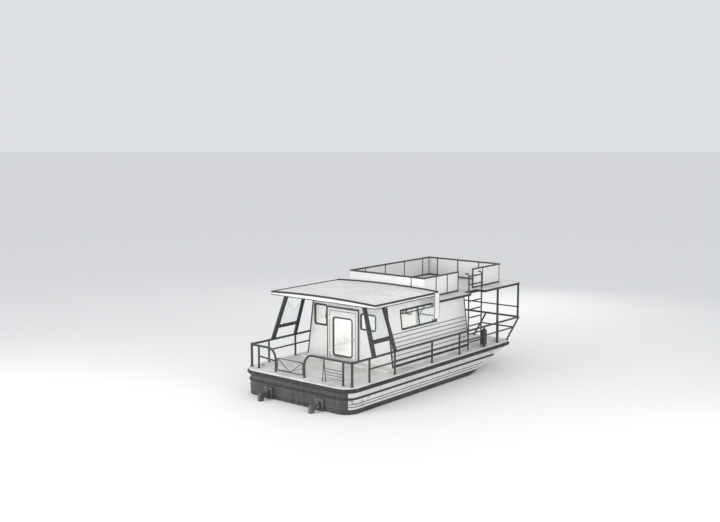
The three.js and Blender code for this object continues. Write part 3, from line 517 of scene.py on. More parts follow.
rubber = finish("black_rubber", RUBBER, 0.62, soiled=SCUFFED, streaks=0.25, worn=SCUFFED, wear=0.5)
galvanised = finish("galvanised_bolt", GALVANISED, 0.42, 0.85, streaks=0.0)
rail_middles = (RAIL_BODY[0] / 2, RAIL_REACH - RAIL_BEAD[0] / 2)
rail_bars = [
    moulding([round_the_hull(RAIL_MIDDLE, off)], bar, rubber, closed=True)
    for off, bar in zip(rail_middles, (RAIL_BODY, RAIL_BEAD))
]
rail_lines = [round_the_hull(z, RAIL_BODY[0] - SUNK) for z in RAIL_BOLT_LINES]
rail_bolts = bolts(rail_lines, 64, RAIL_BOLT, galvanised, closed=True)
piece("rub_rail_rubber", [*rail_bars, rail_bolts], stands_for=("rub_rail",))
strake_line = round_the_stern(STRAKE_MIDDLE, STRAKE_BAR[0] / 2, STRAKE_FORE)
strake_face = round_the_stern(STRAKE_MIDDLE, STRAKE_BAR[0] - SUNK, STRAKE_BOLT_FORE)
strake_bar = moulding([strake_line], STRAKE_BAR, rubber)
strake_bolts = bolts([strake_face], 44, STRAKE_BOLT, galvanised)
piece("lower_strake_rubber", [strake_bar, strake_bolts], stands_for=("lower_strake",))

# Main deck and cabin sole: steel plate with grit laid in the paint, worn in patches by feet.
# Low hatches over the engines and the chain locker have ring pulls in steel dishes.
DECK_PAINT = (0.75, 0.75, 0.72, 1)
TRODDEN = (0.54, 0.53, 0.50, 1)
STAINLESS = (0.62, 0.63, 0.64, 1)
TRODDEN_CLOUDS = (1.7, 9.0, 0.46, 0.66)
TRODDEN_SHARE = 0.55
GRIT_SCALE = 170.0
GRIT_EDGES = (0.45, 0.15)
GRIT_HEIGHT = 1.6
DECK_TOP = 1.25
SOLE_TOP = 1.33
HATCHES = (
    ("engine_hatch_port", (-4.12, 0.62), (-3.50, 1.42), 1),
    ("engine_hatch_starboard", (-4.12, -1.42), (-3.50, -0.62), 1),
    ("chain_locker_hatch", (3.30, -0.34), (3.92, 0.34), -1),
)
HATCH_SEAL = (DECK_TOP - 0.004, DECK_TOP + 0.006)
LID_TOP = DECK_TOP + 0.014
HATCH_GAP = 0.013
LID_SCREW = (0.008, 0.003)
LID_SCREW_INSET = 0.03
PULL_RADIUS = 0.038
PULL_WIRE = 0.0045
PULL_PLACE = 0.36
DISH_BAR = (0.010, 0.005, 0.002)
NOSING = (0.030, 0.016, 0.006)
NOSING_LAP = (0.004, 0.01, 0.003)


def slab(low, high, material, ease=0.003):
    """A block between two corners, its edges eased by a small bevel."""
    block = bmesh.new()
    bmesh.ops.create_cube(block, size=1.0)
    low, high = Vector(low), Vector(high)
    middle = (low + high) / 2
    for corner in block.verts:
        corner.co = [m + away * extent for m, away, extent in zip(middle, corner.co, high - low)]
    bmesh.ops.bevel(block, geom=block.edges, offset=ease, segments=2, profile=0.5, affect="EDGES")
    return meshed(block, "slab", material)


def grit_relief(tree):
    cells = node(tree, "ShaderNodeTexVoronoi", {"Vector": spot_of(tree), "Scale": GRIT_SCALE})
    return times(tree, stepped(tree, cells.outputs["Distance"], *GRIT_EDGES), GRIT_HEIGHT)


def trodden(tree):
    patches = times(tree, clouds(tree, *TRODDEN_CLOUDS), TRODDEN_SHARE)
    return mixed(tree, patches, DECK_PAINT, TRODDEN)


def ring(centre, radius, steps=16, flat=True):
    x, y, z = centre
    turns = [2 * math.pi * i / steps for i in range(steps)]
    if flat:
        return [(x + radius * math.cos(t), y + radius * math.sin(t), z) for t in turns]
    return [(x, y + radius * math.cos(t), z + radius * math.sin(t)) for t in turns]


def rectangle(low, high, inset):
    """The corners of a rectangle, brought in by an inset."""
    (left, foot), (right, head) = low, high
    left, foot, right, head = left + inset, foot + inset, right - inset, head - inset
    return ((left, foot), (right, foot), (right, head), (left, head))


deck_paint = finish(
    "gritted_deck_paint", DECK_PAINT, 0.72, streaks=0.10, blotches=0.22, worn=TRODDEN, wear=0.5,
    edge=0.006, bump=0.10, under=trodden, relief=grit_relief,
)
stainless = finish("stainless", STAINLESS, 0.24, 1.0, streaks=0.05)
coat_nodes(deck_paint, "main_deck", "cabin_floor")
for name, low, high, way in HATCHES:
    (left, foot), _, (right, head), _ = rectangle(low, high, HATCH_GAP)
    pull_x = (low[0] + high[0]) / 2 + way * (high[0] - low[0]) * PULL_PLACE
    pull = (pull_x, (low[1] + high[1]) / 2, LID_TOP + SUNK)
    corners = [(x, y, LID_TOP - SUNK) for x, y in rectangle((left, foot), (right, head), LID_SCREW_INSET)]
    parts = [
        slab((*low, HATCH_SEAL[0]), (*high, HATCH_SEAL[1]), rubber, ease=0.002),
        slab((left, foot, DECK_TOP), (right, head, LID_TOP), deck_paint),
        moulding([ring(pull, PULL_RADIUS * 1.25)], DISH_BAR, stainless, closed=True),
        tube([ring(pull, PULL_RADIUS)], PULL_WIRE, stainless, closed=True),
        bolts([corners], 8, LID_SCREW, stainless, UP, closed=True),
    ]
    piece(name, parts)
sole_low, sole_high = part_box("cabin_floor")
nose_z = SOLE_TOP - NOSING[1] / 2 + NOSING_LAP[2]
nose_in = NOSING[0] / 2 - NOSING_LAP[0]
nose_ends = (sole_low.y + NOSING_LAP[1], sole_high.y - NOSING_LAP[1])
noses = [[(x, y, nose_z) for y in nose_ends] for x in (sole_low.x + nose_in, sole_high.x - nose_in)]
piece("sole_nosings", [moulding(noses, NOSING, stainless)])

# Cabin walls: white-painted steel sheet that leans in towards the roof, welded at the corners.
# Below the sills the sides carry long boards screwed on, over a black skirting strip; the dark strips in
# the gaps between the boards are caulk and painted shade for the shadow in the gaps.
CABIN_WHITE = (0.80, 0.80, 0.78, 1)
# Dark caulk colour, used for the sun deck joints and as painted shade in the gaps between the wall
# boards.
CAULK_AND_GAP_SHADE = (0.075, 0.075, 0.072, 1)
FRAME_BLACK = (0.028, 0.029, 0.031, 1)
WALL_FOOT_HALF = 1.78
LEAN = math.atan((WALL_FOOT_HALF - 1.50) / (3.43 - SOLE_TOP))
WALL_RISE = 0.13
SPLASH_HEIGHTS = (1.62, 1.34)
SPLASH_CLOUDS = (5.5, 7.0, 0.36, 0.66)
SPLASH_SHARE = 0.30
WALL_AFT = -1.975
WALL_FORE = 2.325
BOARD = (0.010, 0.112, 0.004)
BOARD_PITCH = 0.134
BOARD_HEIGHTS = [1.476 + BOARD_PITCH * i for i in range(7)]
BOARD_ENDS = (WALL_AFT + 0.045, WALL_FORE - 0.045)
SEAM = (0.004, 0.024, 0.001)
BOARD_SCREW = (0.006, 0.002)
BOARD_OFF, BOARD_SCREW_OFF = 0.002, 0.007
SKIRTING = (0.014, 0.075, 0.004)
SKIRTING_OFF = 0.003
CORNER_TRIM = (0.030, 0.050, 0.010)
CORNER_TRIMS = ((WALL_AFT + 0.004, 3.42), (WALL_FORE - 0.004, 3.17))
TRIM_FOOT = 1.335
SIDES = (("port", 1), ("starboard", -1))


def wall_face(x, z, side, proud=0.0):
    """A point on a cabin side, which leans in as it rises. side is 1 to port."""
    return (x, side * (WALL_FOOT_HALF - (z - SOLE_TOP) * math.tan(LEAN) + proud), z)


def outward(side):
    """The way out of a cabin side, about square to its lean."""
    return (0.0, float(side), WALL_RISE)


def wall_paint(tree):
    wet = stepped(tree, axis_of(tree, "Z"), *SPLASH_HEIGHTS)
    splash = times(tree, wet, clouds(tree, *SPLASH_CLOUDS))
    return mixed(tree, times(tree, splash, SPLASH_SHARE), CABIN_WHITE, SILT)


cabin_white = finish(
    "cabin_white", CABIN_WHITE, 0.38, streaks=0.10, blotches=0.06, worn=SILT, wear=0.4, bump=0.05,
    coat=0.15, under=wall_paint,
)
black_frame = finish(
    "black_frame", FRAME_BLACK, 0.40, soiled=SCUFFED, streaks=0.14, worn=GALVANISED, wear=0.35
)
caulk_and_gap_shade = finish("seam_caulk_and_gap_shade", CAULK_AND_GAP_SHADE, 0.8, soiled=SCUFFED, streaks=0.3)
coat_nodes(cabin_white, "port_wall", "starboard_wall", "aft_wall", "fore_wall")
for label, side in SIDES:

    def rows(rise, proud, heights=BOARD_HEIGHTS, ends=BOARD_ENDS):
        return [[wall_face(x, z + rise, side, proud) for x in ends] for z in heights]

    boards = moulding(rows(0.0, BOARD_OFF), BOARD, cabin_white, tilt=-side * LEAN)
    # Painted shade: the dark strips in the board gaps are caulk that also stands for the shadow the gaps
    # would hold.
    seams = moulding(rows(BOARD_PITCH / 2, BOARD_OFF), SEAM, caulk_and_gap_shade, tilt=-side * LEAN)
    screws = bolts(rows(0.0, BOARD_SCREW_OFF), 9, BOARD_SCREW, galvanised, outward(side))
    piece(f"{label}_wall_boards", [boards, seams, screws])
    foot = rows(SKIRTING[1] / 2, SKIRTING_OFF, (SOLE_TOP,), (WALL_AFT, WALL_FORE))
    corners = [[wall_face(x, z, side, SUNK) for z in (TRIM_FOOT, head)] for x, head in CORNER_TRIMS]
    skirting = moulding(foot, SKIRTING, rubber)
    trims = moulding(corners, CORNER_TRIM, black_frame, level=False)
    piece(f"{label}_wall_trims", [skirting, trims])

# Side windows: two sliding lights under a shallow fixed one, in a black aluminium frame that
# is screwed over the opening on a rubber gasket. The panes are plain toughened glass.
GLASS_TINT = (0.93, 0.955, 0.955, 1)
GLASS_DUST = (0.62, 0.62, 0.58, 1)
DUST_SPOTS = (21.0, 9.0, 0.52, 0.74)
DUST_CLOUDS = (2.3, 3.0, 0.40, 0.62)
DUST_SHARE = 0.5
DUST_DULLING = 0.5
GLASS_IOR = 1.46
GLASS_SMOOTH = 0.03
SIDE_WINDOW = ((-1.325, 2.42), (0.625, 3.06))
WINDOW_FRAME = (0.035, 0.045, 0.006)
FRAME_LINE = 0.010 - WINDOW_FRAME[0] / 2
FRAME_BEND = 0.05
MULLION_BAR = (0.031, 0.036, 0.006)
TRANSOM_BAR = (0.029, 0.036, 0.006)
MULLION_X = -0.35
TRANSOM_Z = 2.93
GASKET = (0.009, 0.012, 0.004)
LIP = (0.010, 0.012, 0.004)
CATCH = (0.012, 0.020, 0.004)
CATCH_ENDS = ((MULLION_X + 0.028, 2.62), (MULLION_X + 0.085, 2.62))
CATCH_OFF = 0.004
FRAME_SCREW = (0.006, 0.0015)
SCREW_INSET, SCREW_OFF = 0.020, 0.009


def window_glass(name, tint):
    """Clear glass under dried spray, which lies in clouds of small spots."""
    made, tree, shader = new_finish(name)
    spots = times(tree, clouds(tree, *DUST_SPOTS), clouds(tree, *DUST_CLOUDS))
    dust = times(tree, spots, DUST_SHARE)
    frosted = sums(tree, "ADD", times(tree, dust, DUST_DULLING), GLASS_SMOOTH)
    tree.links.new(mixed(tree, dust, tint, GLASS_DUST), shader["Base Color"])
    tree.links.new(frosted, shader["Roughness"])
    shader["IOR"].default_value = GLASS_IOR
    shader["Transmission Weight"].default_value = 1.0
    return made


glass = window_glass("window_glass", GLASS_TINT)
for label, side in SIDES:
    coat_nodes(glass, f"{label}_window_glass")
    lean = {"level": False, "tilt": -side * LEAN}

    def framed(inset, proud):
        return [[wall_face(x, z, side, proud) for x, z in rectangle(*SIDE_WINDOW, inset)]]

    def barred(ends, proud):
        return [[wall_face(x, z, side, proud) for x, z in ends]]

    (left, foot), _, (right, head), _ = rectangle(*SIDE_WINDOW, 0.04)
    mullion = barred(((MULLION_X, foot), (MULLION_X, head)), FRAME_LINE)
    transom = barred(((left, TRANSOM_Z), (right, TRANSOM_Z)), FRAME_LINE)
    rim = framed(WINDOW_FRAME[1] / 2, FRAME_LINE)
    gasket = framed(WINDOW_FRAME[1] + GASKET[1] / 2 - SUNK, -0.004)
    heads = framed(SCREW_INSET, SCREW_OFF)
    parts = [
        moulding(rim, WINDOW_FRAME, black_frame, FRAME_BEND, True, **lean),
        moulding(mullion, MULLION_BAR, black_frame, **lean),
        moulding(transom, TRANSOM_BAR, black_frame, **lean),
        moulding(gasket, GASKET, rubber, FRAME_BEND / 2, True, **lean),
        moulding(framed(-0.004, SUNK), LIP, rubber, FRAME_BEND, True, **lean),
        moulding(barred(CATCH_ENDS, CATCH_OFF), CATCH, stainless, **lean),
        bolts(heads, 26, FRAME_SCREW, stainless, outward(side), closed=True),
    ]
    piece(f"{label}_window_surround", parts, stands_for=(f"{label}_window_frame",))

# Aft and fore windows: single toughened panes set into the end walls. Each has a black
# aluminium frame with round corners outside, a slimmer trim inside, and rubber between. The
# fore frames are let in nearly flush, because the sliding door passes in front of one.
AFT_END = (WALL_AFT, -1.935, 0.017)
FORE_END = (WALL_FORE, 2.285, 0.0045)
END_WINDOWS = (
    ("aft_port_window", AFT_END, ((0.96, 2.38), (1.45, 3.02)), 0.055),
    ("aft_starboard_window", AFT_END, ((-1.08, 2.42), (-0.50, 2.90)), 0.045),
    ("fore_port_window", FORE_END, ((0.65, 2.15), (1.35, 2.90)), 0.045),
    ("fore_starboard_window", FORE_END, ((-1.35, 2.15), (-0.65, 2.90)), 0.045),
)
OUTER_DEPTH = 0.026
OUTER_CORNER, OUTER_BEND = 0.007, 0.06
FRAME_LAP = 0.012
PANE_SEAL = (0.014, 0.012, 0.004)
SEAL_BACK, SEAL_INSET, SEAL_BEND = 0.015, 0.014, 0.03
INNER_TRIM = (0.010, 0.036, 0.003)
TRIM_OUT, TRIM_LAP, TRIM_BEND = 0.004, 0.008, 0.05
END_SCREW = (0.007, 0.002)


def upright_loop(x, opening, margin):
    """A rectangle round an opening in an end wall, larger than it by a margin."""
    return [[(x, y, z) for y, z in rectangle(*opening, -margin)]]


def rings_round(opening, rings):
    """Bars round an opening in an end wall, each with its place, margin and bend."""
    return [
        moulding(upright_loop(x, opening, margin), bar, material, bend, True, level=False)
        for x, margin, bar, material, bend in rings
    ]


for name, (face, inside, proud), opening, width in END_WINDOWS:
    coat_nodes(glass, name)
    out = math.copysign(1.0, face)
    lap = width / 2 - FRAME_LAP
    front = face + out * proud
    outer = (OUTER_DEPTH, width, OUTER_CORNER)
    rings = (
        (front - out * OUTER_DEPTH / 2, lap, outer, black_frame, OUTER_BEND),
        (front - out * SEAL_BACK, -SEAL_INSET, PANE_SEAL, rubber, SEAL_BEND),
        (inside - out * TRIM_OUT, TRIM_LAP, INNER_TRIM, black_frame, TRIM_BEND),
    )
    heads = upright_loop(front - out * SUNK / 2, opening, lap)
    screws = bolts(heads, 12, END_SCREW, stainless, (out, 0.0, 0.0), closed=True)
    piece(f"{name}_frame", [*rings_round(opening, rings), screws])

# Aft doorway: a white aluminium casing screwed round it, edged with black rubber. Its leaf is
# white, with one tall pane in a black frame, a lever handle, and a scuffed kick plate.
CASING_OUTER = (-2.011, (-0.407, 0.887), (1.335, 2.997), (0.020, 0.042, 0.005))
CASING_INNER = (-2.014, (-0.313, 0.793), (1.335, 2.903), (0.006, 0.020, 0.002))
CASING_SCREWS = (-2.0145, (-0.352, 0.832), (1.45, 2.945))
DRIP = (0.06, 0.016, 0.006)
DRIP_LINE = [(-2.026, y, 3.022) for y in (-0.43, 0.91)]
LEAF_FACE = -2.015
LEAF_PANE = ((-0.14, 1.448), (0.62, 2.665))
LEAF_RINGS = (
    (LEAF_FACE - 0.004, 0.020, (0.012, 0.050, 0.004), black_frame, 0.09),
    (-1.977, 0.016, (0.008, 0.036, 0.003), black_frame, 0.09),
    (LEAF_FACE + 0.008, -0.005, (0.010, 0.012, 0.003), rubber, 0.07),
)
KICK_PLATE = ((-0.255, 1.352), (0.735, 1.412))
KICK_SCREWS = [(LEAF_FACE - 0.0018, y, 1.382) for y in (-0.235, 0.715)]
HANDLE_SIDE = -0.235
HANDLE_Z = 2.06
HANDLE_PLATE = ((HANDLE_SIDE - 0.022, HANDLE_Z - 0.11), (HANDLE_SIDE + 0.022, HANDLE_Z + 0.05))
LEVER_PATH = (
    (LEAF_FACE - 0.001, HANDLE_SIDE, HANDLE_Z), (LEAF_FACE - 0.052, HANDLE_SIDE, HANDLE_Z),
    (LEAF_FACE - 0.055, HANDLE_SIDE + 0.125, HANDLE_Z - 0.006),
)
LEVER_TUBE, LEVER_BEND = 0.0095, 0.018
LEAF_MIRROR = -3.995
KEYHOLE = [(LEAF_FACE - reach, HANDLE_SIDE, HANDLE_Z - 0.07) for reach in (0.003, 0.009)]
KEYHOLE_TUBE = 0.011
AFT = (-1.0, 0.0, 0.0)


def doorway(x, sides, heights):
    """A line up one side of the doorway, over it and down the other."""
    (left, right), (foot, head) = sides, heights
    return [[(x, left, foot), (x, left, head), (x, right, head), (x, right, foot)]]


coat_nodes(cabin_white, "aft_door_casing", "aft_door", "fore_door")
coat_nodes(glass, "aft_door_glass", "fore_door_glass")
edges = [
    moulding(doorway(x, sides, heights), bar, rubber, level=False)
    for x, sides, heights, bar in (CASING_OUTER, CASING_INNER)
]
drip = moulding([DRIP_LINE], DRIP, black_frame)
screws = bolts(doorway(*CASING_SCREWS), 26, END_SCREW, stainless, AFT)
piece("aft_door_casing_edges", [*edges, drip, screws])
kick_low, kick_high = KICK_PLATE
plate_low, plate_high = HANDLE_PLATE
parts = [
    *rings_round(LEAF_PANE, LEAF_RINGS),
    slab((LEAF_FACE - 0.002, *kick_low), (LEAF_FACE + SUNK, *kick_high), stainless, 0.001),
    slab((LEAF_FACE - 0.004, *plate_low), (LEAF_FACE + SUNK, *plate_high), stainless, 0.0015),
    tube([LEVER_PATH], LEVER_TUBE, stainless, LEVER_BEND),
    tube([[(LEAF_MIRROR - x, y, z) for x, y, z in LEVER_PATH]], LEVER_TUBE, stainless, LEVER_BEND),
    tube([KEYHOLE], KEYHOLE_TUBE, stainless),
    bolts([KICK_SCREWS], 7, FRAME_SCREW, stainless, AFT),
]
piece("aft_door_fittings", parts, "aft_door")

# Fore doorway: a white sliding door hung from a covered aluminium track over the opening.
# It has one big pane in a black frame, a steel kick strip, and a bow pull handle.
TRACK_GREY = (0.60, 0.61, 0.61, 1)
FORE_LEAF_FACE = 2.367
FORE_PANE = ((-0.43, 1.43), (0.43, 2.99))
FORE_RINGS = (
    (FORE_LEAF_FACE + 0.002, 0.014, (0.012, 0.040, 0.004), black_frame, 0.05),
    (2.3545, -0.006, (0.008, 0.012, 0.003), rubber, 0.03),
)
KICK_STRIP = (0.004, 0.060, 0.001)
KICK_LINE = [(FORE_LEAF_FACE + 0.001, y, 1.385) for y in (-0.44, 0.44)]
PULL_PROFILE = ((-0.001, 2.02), (0.045, 2.02), (0.045, 2.30), (-0.001, 2.30))
PULL_LINE = [(FORE_LEAF_FACE + off, 0.462, z) for off, z in PULL_PROFILE]
PULL_TUBE, PULL_BEND = 0.011, 0.02

coat_nodes(finish("door_track", TRACK_GREY, 0.35, 0.7, streaks=0.10), "fore_door_track")
parts = [
    *rings_round(FORE_PANE, FORE_RINGS),
    moulding([KICK_LINE], KICK_STRIP, stainless),
    tube([PULL_LINE], PULL_TUBE, stainless, PULL_BEND),
]
piece("fore_door_fittings", parts, "fore_door")

# Roof over the cockpit and aft cabin: cambered white sheet, its joints covered by low battens.
# Black rubber strips edge its fascia and seal its fore end against the bulwark, and a light
# board hangs at each fore corner.
ROOF_AFT = -3.325
ROOF_HALF = 2.15
ROOF_EDGE_TOP = 3.53
ROOF_CROWN = 0.06
SCUFF_CLOUDS = (2.4, 8.0, 0.56, 0.72, (1.6, 7.0, 1.0))
SCUFF_SHARE = 0.36
TOP_STRIP = (0.050, 0.060, 0.012)
TOP_STRIP_LINE = (-0.012, -0.006)
FOOT_STRIP = (0.012, 0.024, 0.004)
FOOT_STRIP_LINE = (FOOT_STRIP[0] / 2 - 0.003, 3.440)
FORE_SEAL = (0.040, 0.050, 0.010)
FORE_SEAL_LINE = (-0.054, 2.12, 0.020)
BATTEN = (0.050, 0.008, 0.003)
BATTEN_PLACES = (-2.66, -2.00, -1.34, -0.68)
BATTEN_REACH, BATTEN_LIFT = 2.08, 0.002
BATTEN_SCREWS = (0.016, 2.04, 0.005)
LIGHT_BOARD = ((-0.305, 2.70), (-0.055, 3.53))
LIGHT_BOARD_FACE = 2.1873
BOARD_EDGE = (0.008, 0.016, 0.003)
EDGE_SHORT = 0.02
BOARD_SCREW_INSET = (0.03, 0.06, 0.05)
SEAL_MEET = LIGHT_BOARD[1][0] - 0.010
EDGE_END = LIGHT_BOARD[0][0] - 0.004


def camber(x, reach, lift=0.0, steps=14):
    """A line athwart the roof that follows its camber."""
    sides = [reach * (1 - 2 * i / steps) for i in range(steps + 1)]
    return [(x, y, ROOF_EDGE_TOP + ROOF_CROWN * (1 - (y / ROOF_HALF) ** 2) + lift) for y in sides]


def roof_paint(tree):
    marked = times(tree, clouds(tree, *SCUFF_CLOUDS), SCUFF_SHARE)
    return mixed(tree, marked, CABIN_WHITE, SCUFFED)


roof_white = finish(
    "roof_white", CABIN_WHITE, 0.46, streaks=0.0, blotches=0.12, worn=SILT, wear=0.4, under=roof_paint
)
coat_nodes(roof_white, "aft_roof")
aft = ROOF_AFT - TOP_STRIP_LINE[0]
top_half = ROOF_HALF + TOP_STRIP_LINE[0]
top_z = ROOF_EDGE_TOP + TOP_STRIP_LINE[1]
top_line = camber(aft, top_half, TOP_STRIP_LINE[1])
top_line = [(SEAL_MEET, top_half, top_z), *top_line, (SEAL_MEET, -top_half, top_z)]
off, z = FOOT_STRIP_LINE
ends = ((EDGE_END, 1), (ROOF_AFT - off, 1), (ROOF_AFT - off, -1), (EDGE_END, -1))
foot_line = [(x, side * (ROOF_HALF + off), z) for x, side in ends]
strips = ((top_line, TOP_STRIP), (foot_line, FOOT_STRIP), (camber(*FORE_SEAL_LINE), FORE_SEAL))
piece("roof_edge_strips", [moulding([line], bar, rubber) for line, bar in strips])
off, reach, lift = BATTEN_SCREWS
screws = [camber(x + way, reach, lift) for x in BATTEN_PLACES for way in (-off, off)]
battens = [camber(x, BATTEN_REACH, BATTEN_LIFT) for x in BATTEN_PLACES]
parts = [moulding(battens, BATTEN, roof_white), bolts(screws, 20, BOARD_SCREW, galvanised, UP)]
piece("roof_battens", parts)
(aft, low), (fore, high) = LIGHT_BOARD
top = high - EDGE_SHORT
inset, foot, head = BOARD_SCREW_INSET
for label, side in SIDES:
    face = side * LIGHT_BOARD_FACE
    outline = [(aft, face, top), (aft, face, low), (fore, face, low), (fore, face, top)]
    screws = [[(x, face, z) for z in (low + foot, high - head)] for x in (aft + inset, fore - inset)]
    edge = moulding([outline], BOARD_EDGE, rubber, level=False)
    heads = bolts(screws, 6, LID_SCREW, stainless, (0.0, float(side), 0.0))
    piece(f"{label}_light_board_edges", [edge, heads])

# Sun deck: gritted plywood deck over the fore cabin and foredeck, white underneath. Its board
# joints are caulked between rows of screws, and a board closes the step up to the roof. A black
# rubber channel wraps its edge, round the bow corners and into the notch for the ladder.
SUN_UNDER = 3.18
SUN_TOP = 3.25
SUN_AFT = -0.175
SUN_FORE = 5.225
SUN_RADIUS = 0.20
SUN_INSET = 0.010
NOTCH = (1.8945, 2.7455, -1.81)
CHANNEL = (0.016, 0.078, 0.005)
BOARD_JOINTS = ((1.045, -2.11), (2.265, -1.78), (3.485, -2.11), (4.705, -2.11))
JOINT = (0.010, 0.003, 0.001)
JOINT_REACH = 2.11
MIDDLE_JOINT = [(x, 0.0, SUN_TOP) for x in (0.03, 5.19)]
SCREW_ROWS = (-0.03, 0.03)
SCREW_SHORT = 0.04
DECK_SCREW = (0.006, 0.0015)
STEP_BOARD = ((-0.172, -2.09, 3.245), (-0.152, 2.09, 3.435))


def prism(outline, low, high, top, rest):
    """A flat board of any outline, with one finish on top and another on the other faces."""
    board = bmesh.new()
    under, over = [[board.verts.new((x, y, z)) for x, y in outline] for z in (low, high)]
    board.faces.new(reversed(under)).material_index = 1
    board.faces.new(over)
    for i in range(len(outline)):
        j = (i + 1) % len(outline)
        board.faces.new((under[i], under[j], over[j], over[i])).material_index = 1
    return meshed(board, "prism", top, rest)


def sun_outline(inset):
    half = ROOF_HALF - inset
    x = SUN_FORE - SUN_RADIUS
    y = ROOF_HALF - SUN_RADIUS
    radius = SUN_RADIUS - inset
    aft, fore, reach = NOTCH[0] - inset, NOTCH[1] + inset, NOTCH[2] + inset
    corners = [*arc((x, -y), radius, 270, 360, 0), *arc((x, y), radius, 0, 90, 0)]
    notch = [(aft, -half), (aft, reach), (fore, reach), (fore, -half)]
    return [(SUN_AFT, -half), *notch, *[spot[:2] for spot in corners], (SUN_AFT, half)]


piece("roof_step_board", [slab(*STEP_BOARD, cabin_white)])
joints = [[(x, y, SUN_TOP), (x, JOINT_REACH, SUN_TOP)] for x, y in BOARD_JOINTS]
rows = [
    [(x + off, y, SUN_TOP + SUNK / 2) for y in (reach + SCREW_SHORT, JOINT_REACH - SCREW_SHORT)]
    for x, reach in BOARD_JOINTS
    for off in SCREW_ROWS
]
parts = [
    prism(sun_outline(SUN_INSET), SUN_UNDER, SUN_TOP, deck_paint, cabin_white),
    moulding([*joints, MIDDLE_JOINT], JOINT, caulk_and_gap_shade),
    bolts(rows, 15, DECK_SCREW, stainless, UP),
]
piece("sun_deck_boards", parts, stands_for=("sun_deck",))
channel = [(x, y, (SUN_UNDER + SUN_TOP) / 2) for x, y in sun_outline(CHANNEL[0] / 2)]
piece("sun_deck_edge_channel", [moulding([channel], CHANNEL, rubber)])

# Bulwark round the sun deck: white sheet panels let in between black tube posts, under a
# round black top rail. Foot flanges are bolted down, and a black channel holds the sheet.
RAIL_PAINT = (0.035, 0.037, 0.040, 1)
SHEET_HALF = 0.012
TOP_RAIL_Z = 3.92
TOP_RAIL_RADIUS = 0.030
POST_RADIUS = 0.028
FLANGE = (0.044, 0.010)
FLANGE_NUT = (0.006, 0.005)
FLANGE_NUTS = (-0.036, 0.036)
FOOT_CHANNEL = (0.036, 0.056, 0.006)
CHANNEL_SHORT = 0.004
BULWARK_AFT = -0.020
BULWARK_FORE = 4.625
BULWARK_HALF = 1.55
SIDE_ENDS = (BULWARK_AFT + 0.0303, BULWARK_FORE - 0.0303)
CROSS_ENDS = (-BULWARK_HALF - TOP_RAIL_RADIUS, BULWARK_HALF + TOP_RAIL_RADIUS)
# Each run has its direction, place, ends, posts, how far the posts stand in, and how far the
# sheet stops short of the two ends, inside the posts beside the ladder.
RUNS = (
    ("aft", True, BULWARK_AFT, CROSS_ENDS, (-1.04, -0.52, 0.0, 0.52, 1.04), 0.018, (0.0, 0.0)),
    ("fore", True, BULWARK_FORE, CROSS_ENDS, (-1.55, -0.69, 0.23, 1.15, 1.55), 0.0, (0.0, 0.0)),
    ("port", False, BULWARK_HALF, SIDE_ENDS, (0.75, 1.90, 3.05, 4.20), 0.0, (0.0, 0.0)),
    ("starboard_aft", False, -BULWARK_HALF, (SIDE_ENDS[0], 1.98), (0.65, 1.30, 1.952), 0.0, (0.0, 0.012)),
    ("starboard_fore", False, -BULWARK_HALF, (2.86, SIDE_ENDS[1]), (2.888, 3.50), 0.0, (0.012, 0.0)),
)
COVER_STRIP = (0.006, 0.036, 0.002)
COVER_SPOT = (BULWARK_AFT - SHEET_HALF - 0.002, -1.04)
COVER_FOOT = SUN_TOP + 0.05

rail_paint = finish(
    "rail_paint", RAIL_PAINT, 0.36, soiled=SCUFFED, streaks=0.12, worn=GALVANISED, wear=0.5
)
for name, athwart, fixed, (start, end), posts, inset, short in RUNS:

    def spot(along, z, off=0.0):
        return (fixed + off, along, z) if athwart else (along, fixed + off, z)

    low = spot(start + short[0], SUN_TOP, -SHEET_HALF)
    high = spot(end - short[1], TOP_RAIL_Z, SHEET_HALF)
    sheet = slab(low, high, cabin_white, ease=0.002)
    piece(f"bulwark_{name}_sheet", [sheet], stands_for=(f"sun_deck_{name}_panel",))
    uprights = [[spot(at, z, inset) for z in (SUN_TOP, TOP_RAIL_Z)] for at in posts]
    feet = [[spot(at, z, inset) for z in (SUN_TOP, SUN_TOP + FLANGE[1])] for at in posts]
    nut_z = SUN_TOP + FLANGE[1] - SUNK
    nuts = [[spot(at + off, nut_z, inset) for off in FLANGE_NUTS] for at in posts]
    channel_z = SUN_TOP + FOOT_CHANNEL[1] / 2
    foot = [spot(along, channel_z) for along in (start + CHANNEL_SHORT, end - CHANNEL_SHORT)]
    parts = [
        tube([[spot(start, TOP_RAIL_Z), spot(end, TOP_RAIL_Z)]], TOP_RAIL_RADIUS, rail_paint),
        tube(uprights, POST_RADIUS, rail_paint),
        tube(feet, FLANGE[0], rail_paint),
        bolts(nuts, 2, FLANGE_NUT, galvanised, UP),
        moulding([foot], FOOT_CHANNEL, rail_paint),
    ]
    piece(f"bulwark_{name}_rail", parts)
cover = [(*COVER_SPOT, z) for z in (COVER_FOOT, TOP_RAIL_Z)]
piece("bulwark_cover_strip", [moulding([cover], COVER_STRIP, rail_paint, level=False)])

